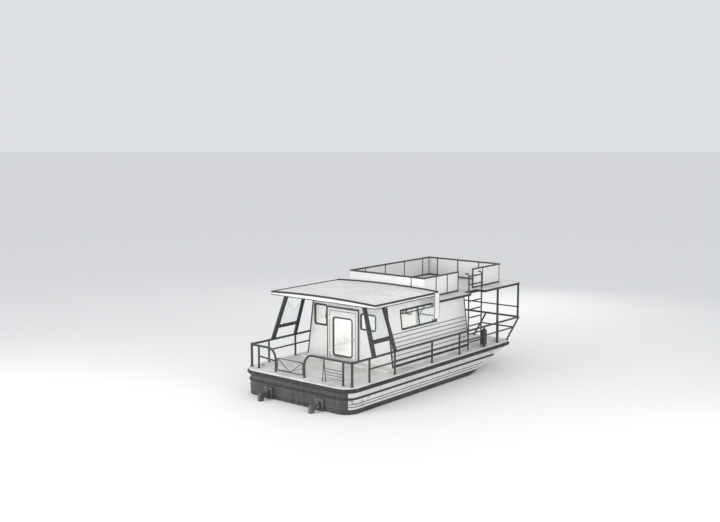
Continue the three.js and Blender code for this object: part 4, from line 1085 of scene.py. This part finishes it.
# Wings: slanted black boards from the handrail up to the roof edge on each side, with bolts
# down each. A cross board carries a fixed pane, which is bedded in a rubber seal between them.
WING_FOOT = (2.0003, 2.09)
WING_HEAD = (3.43, 1.61)
WING_RISE = WING_HEAD[0] - WING_FOOT[0]
WING_SLOPE = (WING_FOOT[1] - WING_HEAD[1]) / WING_RISE
WING_HALF_THICK = 0.025
WING_OUT = WING_HALF_THICK * math.sqrt(1 + WING_SLOPE**2) - SUNK / 2
BOARD_LINES = ((-3.315, -3.185), (-2.275, -2.305))
BOLT_HEIGHTS = (WING_FOOT[0] + 0.08, WING_HEAD[0] - 0.06)
PANE_EDGES = ((-3.230, -3.100), (-2.340, -2.370))
PANE_HEIGHTS = (2.441, 3.418)
CROSS_Z = 2.38
WING_SEAL = (0.018, 0.022, 0.006)
WING_BOLT = (0.011, 0.005)


def wing_face(edge, z, side, proud=0.0):
    """A point on an edge that runs from its place at the wing's foot to that at its head."""
    rise = z - WING_FOOT[0]
    x = edge[0] + (edge[1] - edge[0]) * (rise / WING_RISE)
    return (x, side * (WING_FOOT[1] - rise * WING_SLOPE + proud), z)


for label, side in SIDES:
    coat_nodes(black_frame, f"{label}_wing")
    coat_nodes(glass, f"{label}_wing_glass")
    (aft, fore), (low, high) = PANE_EDGES, PANE_HEIGHTS
    loop = [wing_face(e, z, side) for e, z in ((aft, low), (fore, low), (fore, high), (aft, high))]
    lines = [[wing_face(edge, z, side, WING_OUT) for z in BOLT_HEIGHTS] for edge in BOARD_LINES]
    cross = [wing_face(edge, CROSS_Z, side, WING_OUT) for edge in PANE_EDGES]
    lean = -side * math.atan(WING_SLOPE)
    aim = (0.0, float(side), WING_SLOPE)
    seal = moulding([loop], WING_SEAL, rubber, closed=True, level=False, tilt=lean)
    heads = [bolts(row, count, WING_BOLT, galvanised, aim) for row, count in ((lines, 9), ([cross], 5))]
    piece(f"{label}_wing_trims", [seal, *heads])

# Side handrails: black-painted steel tube on posts, with a smaller rail half way up. Clamps
# join the tubes, and each post stands on a round foot held down by four bolts.
RAIL_SIDE = 2.09
RAIL_TUBE = 0.036
RAIL_LINE = 1.964
MID_TUBE = 0.026
MID_LINE = 1.64
POST_TUBE = 0.032
FOOT = (0.056, 0.010)
FOOT_NUT = (0.007, 0.006)
FOOT_NUT_RING = 0.045
CLAMP = 0.007
CLAMP_HALF = 0.035
CLAMP_TUBE = POST_TUBE - 0.003
SIDE_POSTS = (-3.525, -2.275, -0.295, 1.295, 2.825, 3.725)
SIDE_RAIL_ENDS = (-4.2747, 3.765)


def upright(x, y, low, high):
    return [(x, y, low), (x, y, high)]


def along(ends, y, z):
    return [(x, y, z) for x in ends]


def footed(places, height=FOOT[1]):
    """Round feet on the main deck, each with four bolts."""
    feet = [upright(x, y, DECK_TOP, DECK_TOP + height) for x, y in places]
    rings = [ring((x, y, DECK_TOP + height - SUNK), FOOT_NUT_RING, 4) for x, y in places]
    nuts = bolts(rings, 4, FOOT_NUT, galvanised, UP, closed=True)
    return [tube(feet, FOOT[0], rail_paint), nuts]


def clamps(places, radius):
    """Sleeves round upright tubes, centred on places."""
    paths = [upright(x, y, z - CLAMP_HALF, z + CLAMP_HALF) for x, y, z in places]
    return tube(paths, radius + CLAMP, rail_paint)


for label, side in SIDES:
    y = side * RAIL_SIDE
    parts = [
        tube([along(SIDE_RAIL_ENDS, y, RAIL_LINE)], RAIL_TUBE, rail_paint),
        tube([along((SIDE_POSTS[0], SIDE_POSTS[-1]), y, MID_LINE)], MID_TUBE, rail_paint),
        tube([upright(x, y, DECK_TOP, RAIL_LINE) for x in SIDE_POSTS], POST_TUBE, rail_paint),
        clamps([(x, y, MID_LINE) for x in SIDE_POSTS], CLAMP_TUBE),
        *footed([(x, y) for x in SIDE_POSTS]),
    ]
    piece(f"{label}_handrail", parts, stands_for=(f"{label}_side_rail",))

# Stern rails: bent tubes that rise beside the gate and run to stout corner posts. Thin slats
# and a narrow brace fill the starboard bay, and a sloping middle rail crosses the port one.
STERN_LINE = -4.335
CORNER_SPOT = (-4.315, 2.075)
CORNER_PARTS = (
    (0.040, DECK_TOP, 2.014, rail_paint),
    (0.062, DECK_TOP, DECK_TOP + 0.012, rail_paint),
    (0.032, 2.014, 2.02, galvanised),
)
GATE_SIDES = (-0.20, 1.00)
RISE_KNEE = 1.62
RISE_REACH = 0.36
RISE_LEAD = 0.04
SLAT_HEIGHTS = (1.39, 1.48, 1.57, 1.66)
SLAT_ENDS = (-1.75, -1.025)
SLAT_TUBE = 0.010
BRACE_SIDE = -1.0
BRACE_SPREAD = 0.06
BRACE_TUBE = 0.014
BRACE_HEIGHTS = (DECK_TOP + 0.002, RAIL_LINE - 0.015)
PORT_POST_SIDE = 1.74
PORT_MID_DROP = 0.06
HINGE_LINE = 0.955
HINGE_TUBE = 0.0076
HINGE_GAP = 0.0005
PIN_TUBE = 0.007
BARREL = 0.040
BARREL_FEET = (1.36, 1.56)


def stern_rail(side, gate_side, post_side, steps=12):
    """A tube up from the deck beside the gate, over in one bend, and out to its corner post,
    with a smaller post between them."""
    knee = Vector((gate_side, RISE_KNEE))
    pull = Vector((gate_side + side * RISE_LEAD, RAIL_LINE))
    shoulder = Vector((gate_side + side * RISE_REACH, RAIL_LINE))
    path = [(STERN_LINE, gate_side, DECK_TOP)]
    for i in range(steps + 1):
        t = i / steps
        point = knee * (1 - t) ** 2 + pull * (2 * t * (1 - t)) + shoulder * t**2
        path.append((STERN_LINE, *point))
    x, y = CORNER_SPOT
    path.append((STERN_LINE, side * y, RAIL_LINE))
    corner = [
        tube([upright(x, side * y, low, high)], radius, material)
        for radius, low, high, material in CORNER_PARTS
    ]
    post = tube([upright(STERN_LINE, post_side, DECK_TOP, RAIL_LINE)], POST_TUBE, rail_paint)
    return [tube([path], RAIL_TUBE, rail_paint), *corner, post]


def at_stern(*spots):
    """A line across the stern through places to port and up."""
    return [(STERN_LINE, y, z) for y, z in spots]


legs = [
    at_stern((BRACE_SIDE + way * BRACE_SPREAD, BRACE_HEIGHTS[0]), (BRACE_SIDE, BRACE_HEIGHTS[1]))
    for way in (-1, 1)
]
slats = [at_stern((SLAT_ENDS[0], z), (SLAT_ENDS[1], z)) for z in SLAT_HEIGHTS]
parts = stern_rail(-1, GATE_SIDES[0], SLAT_ENDS[0])
parts += [tube(legs, BRACE_TUBE, rail_paint), tube(slats, SLAT_TUBE, rail_paint)]
parts += footed([(STERN_LINE, SLAT_ENDS[0]), (STERN_LINE, GATE_SIDES[0])])
piece("starboard_stern_handrail", parts, stands_for=("starboard_stern_rail",))
tops = [foot - HINGE_GAP for foot in BARREL_FEET]
middle_rail = at_stern((PORT_POST_SIDE, MID_LINE), (GATE_SIDES[1], MID_LINE - PORT_MID_DROP))
pintles = [upright(STERN_LINE, HINGE_LINE, top - BARREL, top) for top in tops]
pins = [at_stern((HINGE_LINE, top - BARREL / 2), (GATE_SIDES[1], top - BARREL / 2)) for top in tops]
parts = stern_rail(1, GATE_SIDES[1], PORT_POST_SIDE)
parts += [
    tube([middle_rail], MID_TUBE, rail_paint),
    tube(pintles, HINGE_TUBE, stainless),
    tube(pins, PIN_TUBE, stainless),
    *footed([(STERN_LINE, PORT_POST_SIDE), (STERN_LINE, GATE_SIDES[1])]),
]
piece("port_stern_handrail", parts, stands_for=("port_stern_rail",))

# Stern gate: a low frame of welded bar with two braces. It hangs on two barrels that sit on
# the port rail's pintles, and a drop bolt on its free side holds it shut.
GATE_ENDS = (-0.139, 0.925)
GATE_HEIGHTS = (1.31, 1.69)
GATE_BAR, GATE_BEND = 0.015, 0.03
GATE_BRACE, GATE_ARM = 0.011, 0.006
BOLT_SPOT = (STERN_LINE + 0.021, GATE_ENDS[0] + 0.012)
DROP_BOLT = [(*BOLT_SPOT, z) for z in (1.285, 1.50)]
BOLT_HANDLE = [(*BOLT_SPOT, 1.49), (STERN_LINE + 0.055, BOLT_SPOT[1], 1.49)]
HANDLE_TUBE = 0.005

low, high = GATE_HEIGHTS
free, hung = GATE_ENDS
middle = (free + hung) / 2
outline = at_stern((free, low), (hung, low), (hung, high), (free, high))
arms = [at_stern((hung, z + BARREL / 2), (HINGE_LINE, z + BARREL / 2)) for z in BARREL_FEET]
parts = [
    tube([outline], GATE_BAR, rail_paint, GATE_BEND, True),
    tube([at_stern((y, high), (middle, low)) for y in GATE_ENDS], GATE_BRACE, rail_paint),
    tube([upright(STERN_LINE, HINGE_LINE, z, z + BARREL) for z in BARREL_FEET], HINGE_TUBE, stainless),
    tube(arms, GATE_ARM, rail_paint),
    tube([DROP_BOLT], PIN_TUBE, stainless),
    tube([BOLT_HANDLE], HANDLE_TUBE, stainless),
]
piece("stern_gate_frame", parts, "stern_gate", ("stern_gate",))

# Bow rail: handrail tube carried out over the bow rake on four leaning posts. Two uprights on
# its cross rail and two from the deck hold up the sun deck, and a grab bar joins the uprights.
BOW_LINE = 5.175
BOW_FOOT = 4.375
BOW_LEAN = ((BOW_FOOT, 1.278), (BOW_LINE, RAIL_LINE))
BOW_INNER = 0.70
BOW_SIDES = (-RAIL_SIDE, -BOW_INNER, BOW_INNER, RAIL_SIDE)
BOW_FOOT_HEIGHT = 0.020
BOW_MID = 4.812
BOW_RAIL_START = SIDE_RAIL_ENDS[1] + 0.0003
TOP_BEND = 0.07
MID_BEND = 0.05
UPRIGHT_SIDES = (-2.04, 2.04)
UPRIGHT_FOOT = 2.0003
UPRIGHT_TUBE = 0.038
GRAB_HEIGHT = 2.33
GRAB_TUBE = 0.024
STANCHION = (3.815, 2.010)
FLANGE_HEIGHT = 0.010
STANCHION_PARTS = (
    (0.040, DECK_TOP, SUN_UNDER),
    (0.058, DECK_TOP, DECK_TOP + FLANGE_HEIGHT),
    (0.062, SUN_UNDER - FLANGE_HEIGHT, SUN_UNDER),
)

corners = [(BOW_RAIL_START, -1), (BOW_LINE, -1), (BOW_LINE, 1), (BOW_RAIL_START, 1)]
top = [(x, way * RAIL_SIDE, RAIL_LINE) for x, way in corners]
bend = ((BOW_RAIL_START, RAIL_SIDE), (BOW_MID, RAIL_SIDE), (BOW_MID, BOW_INNER))
middles = [[(x, way * y, MID_LINE) for x, y in bend] for way in (-1, 1)]
parts = [
    tube([top], RAIL_TUBE, rail_paint, TOP_BEND),
    tube([[(x, y, z) for x, z in BOW_LEAN] for y in BOW_SIDES], POST_TUBE, rail_paint),
    tube(middles, MID_TUBE, rail_paint, MID_BEND),
    *footed([(BOW_FOOT, y) for y in BOW_SIDES], BOW_FOOT_HEIGHT),
]
piece("bow_handrail", parts, stands_for=("bow_rail",))
uprights = [upright(BOW_LINE, y, UPRIGHT_FOOT, SUN_UNDER) for y in UPRIGHT_SIDES]
grab = [(BOW_LINE, y, GRAB_HEIGHT) for y in UPRIGHT_SIDES]
parts = [
    tube(uprights, UPRIGHT_TUBE, rail_paint),
    tube([grab], GRAB_TUBE, rail_paint),
    clamps(grab, UPRIGHT_TUBE - 0.003),
]
piece("bow_uprights", parts, stands_for=("bow_posts",))
for label, side in SIDES:
    x, y = STANCHION
    parts = [
        tube([upright(x, side * y, low, high)], radius, rail_paint)
        for radius, low, high in STANCHION_PARTS
    ]
    piece(f"{label}_deck_stanchion", parts, stands_for=(f"{label}_deck_post",))

# Ladder: two black tubes up through the notch, bent inboard on top as hand holds. The rungs
# wear ribbed rubber grips, and each foot stands in a steel shoe.
LADDER_RAILS = (1.92, 2.72)
LADDER_SIDE = -2.025
LADDER_TUBE = 0.025
LADDER_TURN = ((LADDER_SIDE, 3.850), (-1.970, 3.895), (-1.885, 3.895))
LADDER_BEND = 0.05
PLUG_ENDS = (-1.888, -1.881)
PLUG_TUBE = 0.023
SHOE = (0.029, 0.05)
RUNG = 0.022
RUNG_HEIGHTS = [1.53 + 0.285 * i for i in range(9)]
GRIP_TUBE = 0.0245
GRIP_RIB = 0.022
GRIP_PITCH = GRIP_RIB * 1.9
GRIP_RIBS = 15

stiles = [[(x, LADDER_SIDE, DECK_TOP), *[(x, y, z) for y, z in LADDER_TURN]] for x in LADDER_RAILS]
first_rib = (sum(LADDER_RAILS) - (GRIP_RIBS - 1) * GRIP_PITCH - GRIP_RIB) / 2
starts = [first_rib + i * GRIP_PITCH for i in range(GRIP_RIBS)]
ribs = [along((x, x + GRIP_RIB), LADDER_SIDE, z) for z in RUNG_HEIGHTS for x in starts]
shoes = [upright(x, LADDER_SIDE, DECK_TOP, DECK_TOP + SHOE[1]) for x in LADDER_RAILS]
plugs = [[(x, y, LADDER_TURN[-1][1]) for y in PLUG_ENDS] for x in LADDER_RAILS]
parts = [
    tube(stiles, LADDER_TUBE, rail_paint, LADDER_BEND),
    tube([along(LADDER_RAILS, LADDER_SIDE, z) for z in RUNG_HEIGHTS], RUNG, rail_paint),
    tube(ribs, GRIP_TUBE, rubber),
    tube(shoes, SHOE[0], galvanised),
    tube(plugs, PLUG_TUBE, rubber),
]
piece("boarding_ladder", parts, stands_for=("ladder",))

# Fender: a moulded black vinyl cylinder, ribbed near its ends, that stands on the side deck
# against the middle rail. A steel eye is set in its top.
FENDER_PLACE = (3.025, -1.9687, 1.25)
FENDER_PROFILE = (
    (0.0, 0.0), (0.030, 0.0), (0.048, 0.004), (0.066, 0.018), (0.080, 0.040), (0.090, 0.066),
    (0.0945, 0.095), (0.0945, 0.108), (0.0915, 0.112), (0.0945, 0.117), (0.0945, 0.128),
    (0.0915, 0.132), (0.0945, 0.137), (0.0945, 0.463), (0.0915, 0.468), (0.0945, 0.472),
    (0.0945, 0.483), (0.0915, 0.488), (0.0945, 0.492), (0.0945, 0.505), (0.090, 0.534),
    (0.080, 0.560), (0.062, 0.580), (0.044, 0.592), (0.031, 0.600), (0.027, 0.612), (0.027, 0.622),
    (0.020, 0.628), (0.0, 0.628),
)
VINYL = (0.030, 0.031, 0.034, 1)
EYE_HEIGHT = 0.626
EYE_RADIUS = 0.011
EYE_WIRE = 0.003


def turned(profile, centre, material, axis=UP, steps=32):
    """A shape turned about an axis from radii and heights, closed at both ends."""
    lathe = bmesh.new()
    turn = Vector(UP).rotation_difference(Vector(axis))
    loops = []
    for radius, height in profile:
        circle = ring((0.0, 0.0, height), radius, steps if radius else 1)
        loops.append([lathe.verts.new(Vector(centre) + turn @ Vector(spot)) for spot in circle])
    for low, high in zip(loops, loops[1:]):
        for i in range(steps):
            j = (i + 1) % steps
            corners = [low[i % len(low)], low[j % len(low)], high[j % len(high)], high[i % len(high)]]
            lathe.faces.new(list(dict.fromkeys(corners)))
    return meshed(lathe, "turned", material)


vinyl = finish("fender_vinyl", VINYL, 0.34, soiled=SCUFFED, streaks=0.30, coat=0.2)
x, y, z = FENDER_PLACE
eye = [(x + across, y, z + EYE_HEIGHT + up) for _, across, up in ring((0, 0, 0), EYE_RADIUS, 14, False)]
body = turned(FENDER_PROFILE, FENDER_PLACE, vinyl, steps=40)
eye_wire = tube([eye], EYE_WIRE, stainless, closed=True)
piece("side_fender", [body, eye_wire], stands_for=("fender",))

# Mooring cleats: cast alloy horns on two short legs, each on a base screwed to the deck near
# a corner. Ropes have polished the horns.
CLEATS = (
    ("aft_port", -4.055, 1.85), ("aft_starboard", -4.055, -1.85),
    ("fore_port", 4.075, 1.80), ("fore_starboard", 4.075, -1.80),
)
CLEAT_BASE = (0.09, 0.026, 0.012)
CLEAT_EASE = 0.004
CLEAT_LINE = 1.312
CLEAT_LEG = 0.013
CLEAT_LEG_SPREAD = (0.038, 0.038 * 0.8)
CLEAT_SCREW_SPREAD = 0.072
CLEAT_HORN = (
    (0.0, -0.140), (0.005, -0.1385), (0.008, -0.134), (0.0095, -0.11), (0.0125, -0.06),
    (0.0150, -0.02), (0.0152, 0.0), (0.0150, 0.02), (0.0125, 0.06), (0.0095, 0.11),
    (0.008, 0.134), (0.005, 0.1385), (0.0, 0.140),
)
ALLOY = (0.50, 0.51, 0.51, 1)
POLISHED = (0.8, 0.8, 0.8, 1)

cast_alloy = finish("cast_alloy", ALLOY, 0.38, 0.9, streaks=0.10, worn=POLISHED, wear=0.6, bump=0.2)
for label, x, y in CLEATS:
    reach, half, thick = CLEAT_BASE
    top = DECK_TOP + thick
    foot, head = CLEAT_LEG_SPREAD
    leg_foot = DECK_TOP + thick / 2
    legs = [[(x + way * foot, y, leg_foot), (x + way * head, y, CLEAT_LINE)] for way in (-1, 1)]
    screws = [(x + way * CLEAT_SCREW_SPREAD, y, top - SUNK) for way in (-1, 1)]
    parts = [
        slab((x - reach, y - half, DECK_TOP), (x + reach, y + half, top), cast_alloy, CLEAT_EASE),
        tube(legs, CLEAT_LEG, cast_alloy),
        turned(CLEAT_HORN, (x, y, CLEAT_LINE), cast_alloy, axis=(1, 0, 0), steps=16),
        bolts([screws], 2, LID_SCREW, stainless, UP),
    ]
    piece(f"{label}_mooring_cleat", parts, stands_for=(f"{label}_cleat",))

# Stern drives: a cast bracket bolted through the transom on each side, a gimbal that steers
# between its lugs, and a leg that tilts in the gimbal. Cast alloy, sprayed dark grey.
DRIVE_GREY = (0.060, 0.064, 0.070, 1)
DRIVE_SOIL = (0.30, 0.29, 0.24, 1)
DRIVE_SIDES = (("port", 1.05), ("starboard", -1.05))
BRACKET_FACE = -4.635
BRACKET_BOLTS = [(y, z) for y in (-0.14, 0.14) for z in (0.435, 0.60, 0.765)]
BRACKET_RIM = ((-0.155, 0.415), (0.155, 0.785))
RIM_BAR, RIM_BEND = (0.010, 0.012, 0.004), 0.03
PAD_TUBE, PAD_ENDS = 0.019, (BRACKET_FACE + 0.004, BRACKET_FACE - 0.004)
NUT_TUBE, NUT_ENDS = 0.012, (BRACKET_FACE - 0.004, BRACKET_FACE - 0.016)
STEER_LINE = -4.695
STEER_CAP = (0.034, 0.010)
STEER_CAP_FEET = (0.7245, 0.4655)
TILT_LINE, TILT_HEIGHT = -4.805, 0.60
TILT_TUBE, TILT_ENDS = 0.026, (0.102, 0.114)
LEG_FACE = 0.050
SHAFT_LINE = 0.215
INTAKE_ENDS = (-4.99, -4.93)
INTAKE_HEIGHTS = [0.235 + 0.020 * i for i in range(4)]
INTAKE_BAR = (0.004, 0.009, 0.0015)
SEAM_ENDS, SEAM_HEIGHT = (-5.035, -4.850), 0.560
SEAM_BAR = (0.003, 0.008, 0.001)
COVER_ENDS, COVER_HEIGHT = (-4.985, -4.875), 0.650
COVER_SCREW = (0.008, 0.004)
ANODE = ((-5.02, -0.035, 0.384), (-4.95, 0.035, 0.404))
ANODE_EASE = 0.004

drive_paint = finish(
    "drive_paint", DRIVE_GREY, 0.38, 0.1, soiled=DRIVE_SOIL, streaks=0.25, blotches=0.20,
    worn=GALVANISED, wear=0.8, edge=0.006, bump=0.12, coat=0.1,
)
for label, middle in DRIVE_SIDES:
    coat_nodes(drive_paint, *[f"{label}_drive_{part}" for part in ("bracket", "gimbal", "leg")])
    rim = [(BRACKET_FACE - SUNK, middle + y, z) for y, z in rectangle(*BRACKET_RIM, 0.0)]
    caps = [upright(STEER_LINE, middle, z, z + STEER_CAP[1]) for z in STEER_CAP_FEET]
    parts = [
        tube([along(PAD_ENDS, middle + y, z) for y, z in BRACKET_BOLTS], PAD_TUBE, galvanised),
        tube([along(NUT_ENDS, middle + y, z) for y, z in BRACKET_BOLTS], NUT_TUBE, galvanised),
        tube(caps, STEER_CAP[0], stainless),
        moulding([rim], RIM_BAR, drive_paint, RIM_BEND, True, level=False),
    ]
    piece(f"{label}_bracket_fixings", parts)
    pins = [[(TILT_LINE, middle + way * y, TILT_HEIGHT) for y in TILT_ENDS] for way in (-1, 1)]
    piece(f"{label}_tilt_pins", [tube(pins, TILT_TUBE, stainless)], f"{label}_gimbal")

    def on_leg(ends, z, proud=0.0):
        """A line fore and aft on each side of the leg."""
        return [along(ends, middle + way * (LEG_FACE + proud), z) for way in (-1, 1)]

    slots = [line for z in INTAKE_HEIGHTS for line in on_leg(INTAKE_ENDS, z, SUNK)]
    covers = [
        bolts([line], 3, COVER_SCREW, stainless, (0.0, float(way), 0.0))
        for line, way in zip(on_leg(COVER_ENDS, COVER_HEIGHT), (-1, 1))
    ]
    anode = [(x, middle + y, z) for x, y, z in ANODE]
    parts = [
        moulding(slots, INTAKE_BAR, rubber),
        moulding(on_leg(SEAM_ENDS, SEAM_HEIGHT, SUNK / 2), SEAM_BAR, rubber),
        slab(*anode, galvanised, ANODE_EASE),
        *covers,
    ]
    piece(f"{label}_leg_details", parts, f"{label}_leg")

# Propellers: alloy castings with three blades of constant pitch on a tapered hub, held on
# the shaft by a nut and a tail cone.
PROPELLER_FACE = -5.135
HUB_PROFILE = (
    (0.0, 0.0), (0.036, 0.0), (0.040, 0.003), (0.040, 0.030), (0.037, 0.060), (0.034, 0.066),
    (0.022, 0.068), (0.019, 0.080), (0.010, 0.0885), (0.0, 0.0895),
)
BLADES = 3
BLADE_MIDDLE = -5.172
BLADE_PITCH = 0.30
BLADE_ROOT = 0.026
BLADE_TIP = 0.1648
BLADE_CHORD = 0.062
BLADE_SWEEP = 0.018
BLADE_THICK = 0.0042
BLADE_FLATNESS = 0.8
BLADE_STEPS = 12
CHORD_STEPS = 10


def blade_point(reach, across, face, start, middle):
    """A point on a blade. reach runs from root to tip, across from -1 to 1, face is -1 or 1."""
    radius = BLADE_ROOT + (BLADE_TIP - BLADE_ROOT) * reach
    rounding = math.sqrt(1 - reach**5)
    width = BLADE_CHORD * (0.55 + 1.1 * reach - 0.35 * reach**2) * rounding
    twist = math.atan(BLADE_PITCH / (2 * math.pi * radius))
    chord = across * width - BLADE_SWEEP * reach**2
    thick = BLADE_THICK * (1.15 - 0.8 * reach) * (1 - across**2) * rounding * face
    angle = start + (chord * math.cos(twist) - thick * math.sin(twist)) / radius
    x = BLADE_MIDDLE + chord * math.sin(twist) * BLADE_FLATNESS + thick * math.cos(twist)
    return (x, middle + radius * math.cos(angle), SHAFT_LINE + radius * math.sin(angle))


def propeller_blades(middle, material):
    cast = bmesh.new()

    def row(i, face, start):
        """Points across a blade, from one edge to the other."""
        places = [2 * j / CHORD_STEPS - 1 for j in range(CHORD_STEPS + 1)]
        reach = i / BLADE_STEPS
        return [cast.verts.new(blade_point(reach, place, face, start, middle)) for place in places]

    for number in range(BLADES):
        start = number * 2 * math.pi / BLADES + math.pi / 2
        grids = [[row(i, face, start) for i in range(BLADE_STEPS + 1)] for face in (-1, 1)]
        strips = [pair for grid in grids for pair in zip(grid, grid[1:])]
        for low, high in [*strips, (grids[0][0], grids[1][0])]:
            for j in range(CHORD_STEPS):
                cast.faces.new((low[j], low[j + 1], high[j + 1], high[j]))
    bmesh.ops.remove_doubles(cast, verts=cast.verts, dist=1e-5)
    bmesh.ops.dissolve_degenerate(cast, edges=cast.edges, dist=1e-6)
    bmesh.ops.recalc_face_normals(cast, faces=cast.faces)
    return meshed(cast, "blades", material)


for label, middle in DRIVE_SIDES:
    centre = (PROPELLER_FACE, middle, SHAFT_LINE)
    parts = [turned(HUB_PROFILE, centre, cast_alloy, AFT, steps=28), propeller_blades(middle, cast_alloy)]
    piece(f"{label}_cast_propeller", parts, f"{label}_screw", (f"{label}_propeller",))

# Helm: a varnished plywood console in the fore starboard corner of the cabin. Three gauges are
# sunk in a black panel on its slope, beside a single engine lever.
VARNISH = (0.34, 0.17, 0.065, 1)
GRAIN_DARK = (0.16, 0.07, 0.025, 1)
GAUGE_PALE = (0.75, 0.74, 0.68, 1)
GROWTH_STRETCH = (5.2, 5.2, 0.7)
GROWTH_RINGS = 95.0
BAND_SHARE = 0.42
FIBRE_EDGES = (0.48, 0.72)
FIBRE_SHARE = 0.45
FIBRE_STRETCH = (230.0, 230.0, 6.0)
SLOPE_FOOT = (1.775, 2.20)
SLOPE_HEAD = (1.995, 2.26)
SLOPE_RUN = (SLOPE_HEAD[0] - SLOPE_FOOT[0], SLOPE_HEAD[1] - SLOPE_FOOT[1])
PANEL_SIDES = (-1.37, -0.65)
PANEL_BAR = (0.150, 0.006, 0.002)
GAUGE_SIDES = (-1.27, -1.13, -0.99)
BEZEL_PROFILE = (
    (0.0, 0.001), (0.050, 0.001), (0.052, 0.006), (0.050, 0.012), (0.045, 0.013), (0.043, 0.007),
    (0.0, 0.007),
)
DIAL_PROFILE = ((0.0, 0.008), (0.042, 0.008), (0.042, 0.0095), (0.0, 0.0095))
SEAT_LIFT = 0.003
NEEDLE_LIFT = 0.0135
NEEDLE = (0.12, 0.022, 0.0015)
LEVER_SIDE = -0.76
LEVER_REACH = Vector((-0.03, 0.0, 0.115))
LEVER_ROD = 0.005
LEVER_BOOT = ((0.0, 0.0), (0.034, 0.0), (0.030, 0.018), (0.0, 0.024))
KNOB_PROFILE = ((0.0, -0.018), (0.012, -0.014), (0.018, 0.0), (0.012, 0.014), (0.0, 0.018))


def wood_grain(tree):
    """Broad growth bands under fine fibres. Both run up the console."""
    rings = sums(tree, "SINE", times(tree, noise(tree, 1.0, 2.0, GROWTH_STRETCH), GROWTH_RINGS))
    bands = times(tree, stepped(tree, rings, -0.6, 1.0), BAND_SHARE)
    pores = times(tree, clouds(tree, 1.0, 3.0, *FIBRE_EDGES, FIBRE_STRETCH), FIBRE_SHARE)
    return mixed(tree, sums(tree, "ADD", bands, pores), VARNISH, GRAIN_DARK)


varnished = finish(
    "varnished_plywood", VARNISH, 0.30, streaks=0.0, blotches=0.10, coat=0.5, bump=0.03, under=wood_grain
)
gauge_face = finish("gauge_face", GAUGE_PALE, 0.35, streaks=0.0, blotches=0.12)
coat_nodes(varnished, "helm_console")


def on_slope(share, y, lift=0.0):
    """A point on the console's slope. share runs from its foot to its head."""
    span = math.hypot(*SLOPE_RUN)
    x = SLOPE_FOOT[0] + SLOPE_RUN[0] * share - SLOPE_RUN[1] / span * lift
    return Vector((x, y, SLOPE_FOOT[1] + SLOPE_RUN[1] * share + SLOPE_RUN[0] / span * lift))


slope_up = on_slope(0, 0, 1) - on_slope(0, 0)
slope_turn = math.atan2(SLOPE_RUN[1], SLOPE_RUN[0])
panel_line = [on_slope(0.5, y, PANEL_BAR[1] / 2 - SUNK) for y in PANEL_SIDES]
parts = [moulding([panel_line], PANEL_BAR, black_frame, tilt=-slope_turn)]
for y in GAUGE_SIDES:
    seat = on_slope(0.5, y, SEAT_LIFT)
    needle = [on_slope(0.5, y, NEEDLE_LIFT), on_slope(0.5 + NEEDLE[0], y + NEEDLE[1], NEEDLE_LIFT)]
    parts += [
        turned(BEZEL_PROFILE, seat, stainless, slope_up),
        turned(DIAL_PROFILE, seat, gauge_face, slope_up),
        tube([needle], NEEDLE[2], black_frame),
    ]
lever_foot = on_slope(0.5, LEVER_SIDE, SEAT_LIFT)
lever_top = lever_foot + LEVER_REACH
parts += [
    turned(LEVER_BOOT, lever_foot, black_frame, slope_up),
    tube([[lever_foot, lever_top]], LEVER_ROD, stainless),
    turned(KNOB_PROFILE, lever_top, rubber, steps=20),
]
piece("helm_instruments", parts)

# Wheel: a varnished rim with rubber grips, on three steel spokes and a boss that stands out
# from the console's face.
WHEEL_SPOT = (1.7127, -1.01, 2.08)
WHEEL_RADIUS = 0.20
RIM_TUBE = 0.0135
RIM_STEPS = 48
GRIP_SWELL = 0.0148
GRIP_EVERY = 8
GRIP_POINTS = 5
SPOKES = 3
SPOKE_TUBE = 0.009
SPOKE_DISH = 0.006
BOSS_REACH = 0.062
BOSS_PROFILE = (
    (0.0, 0.0), (0.026, 0.0), (0.026, 0.055), (0.034, 0.060), (0.034, 0.070), (0.022, 0.080),
    (0.0, 0.082),
)

x, y, z = WHEEL_SPOT
rim_path = ring(WHEEL_SPOT, WHEEL_RADIUS, RIM_STEPS, flat=False)
grips = [rim_path[start : start + GRIP_POINTS] for start in range(0, RIM_STEPS, GRIP_EVERY)]
ends = rim_path[RIM_STEPS // 4 :: RIM_STEPS // SPOKES]
spokes = [[(x - SPOKE_DISH, y, z), end] for end in ends]
parts = [
    tube([rim_path], RIM_TUBE, varnished, closed=True),
    tube(grips, GRIP_SWELL, rubber),
    tube(spokes, SPOKE_TUBE, stainless),
    turned(BOSS_PROFILE, (x + BOSS_REACH, y, z), stainless, AFT),
]
piece("helm_rim_and_spokes", parts, "helm_wheel", ("helm_wheel",))
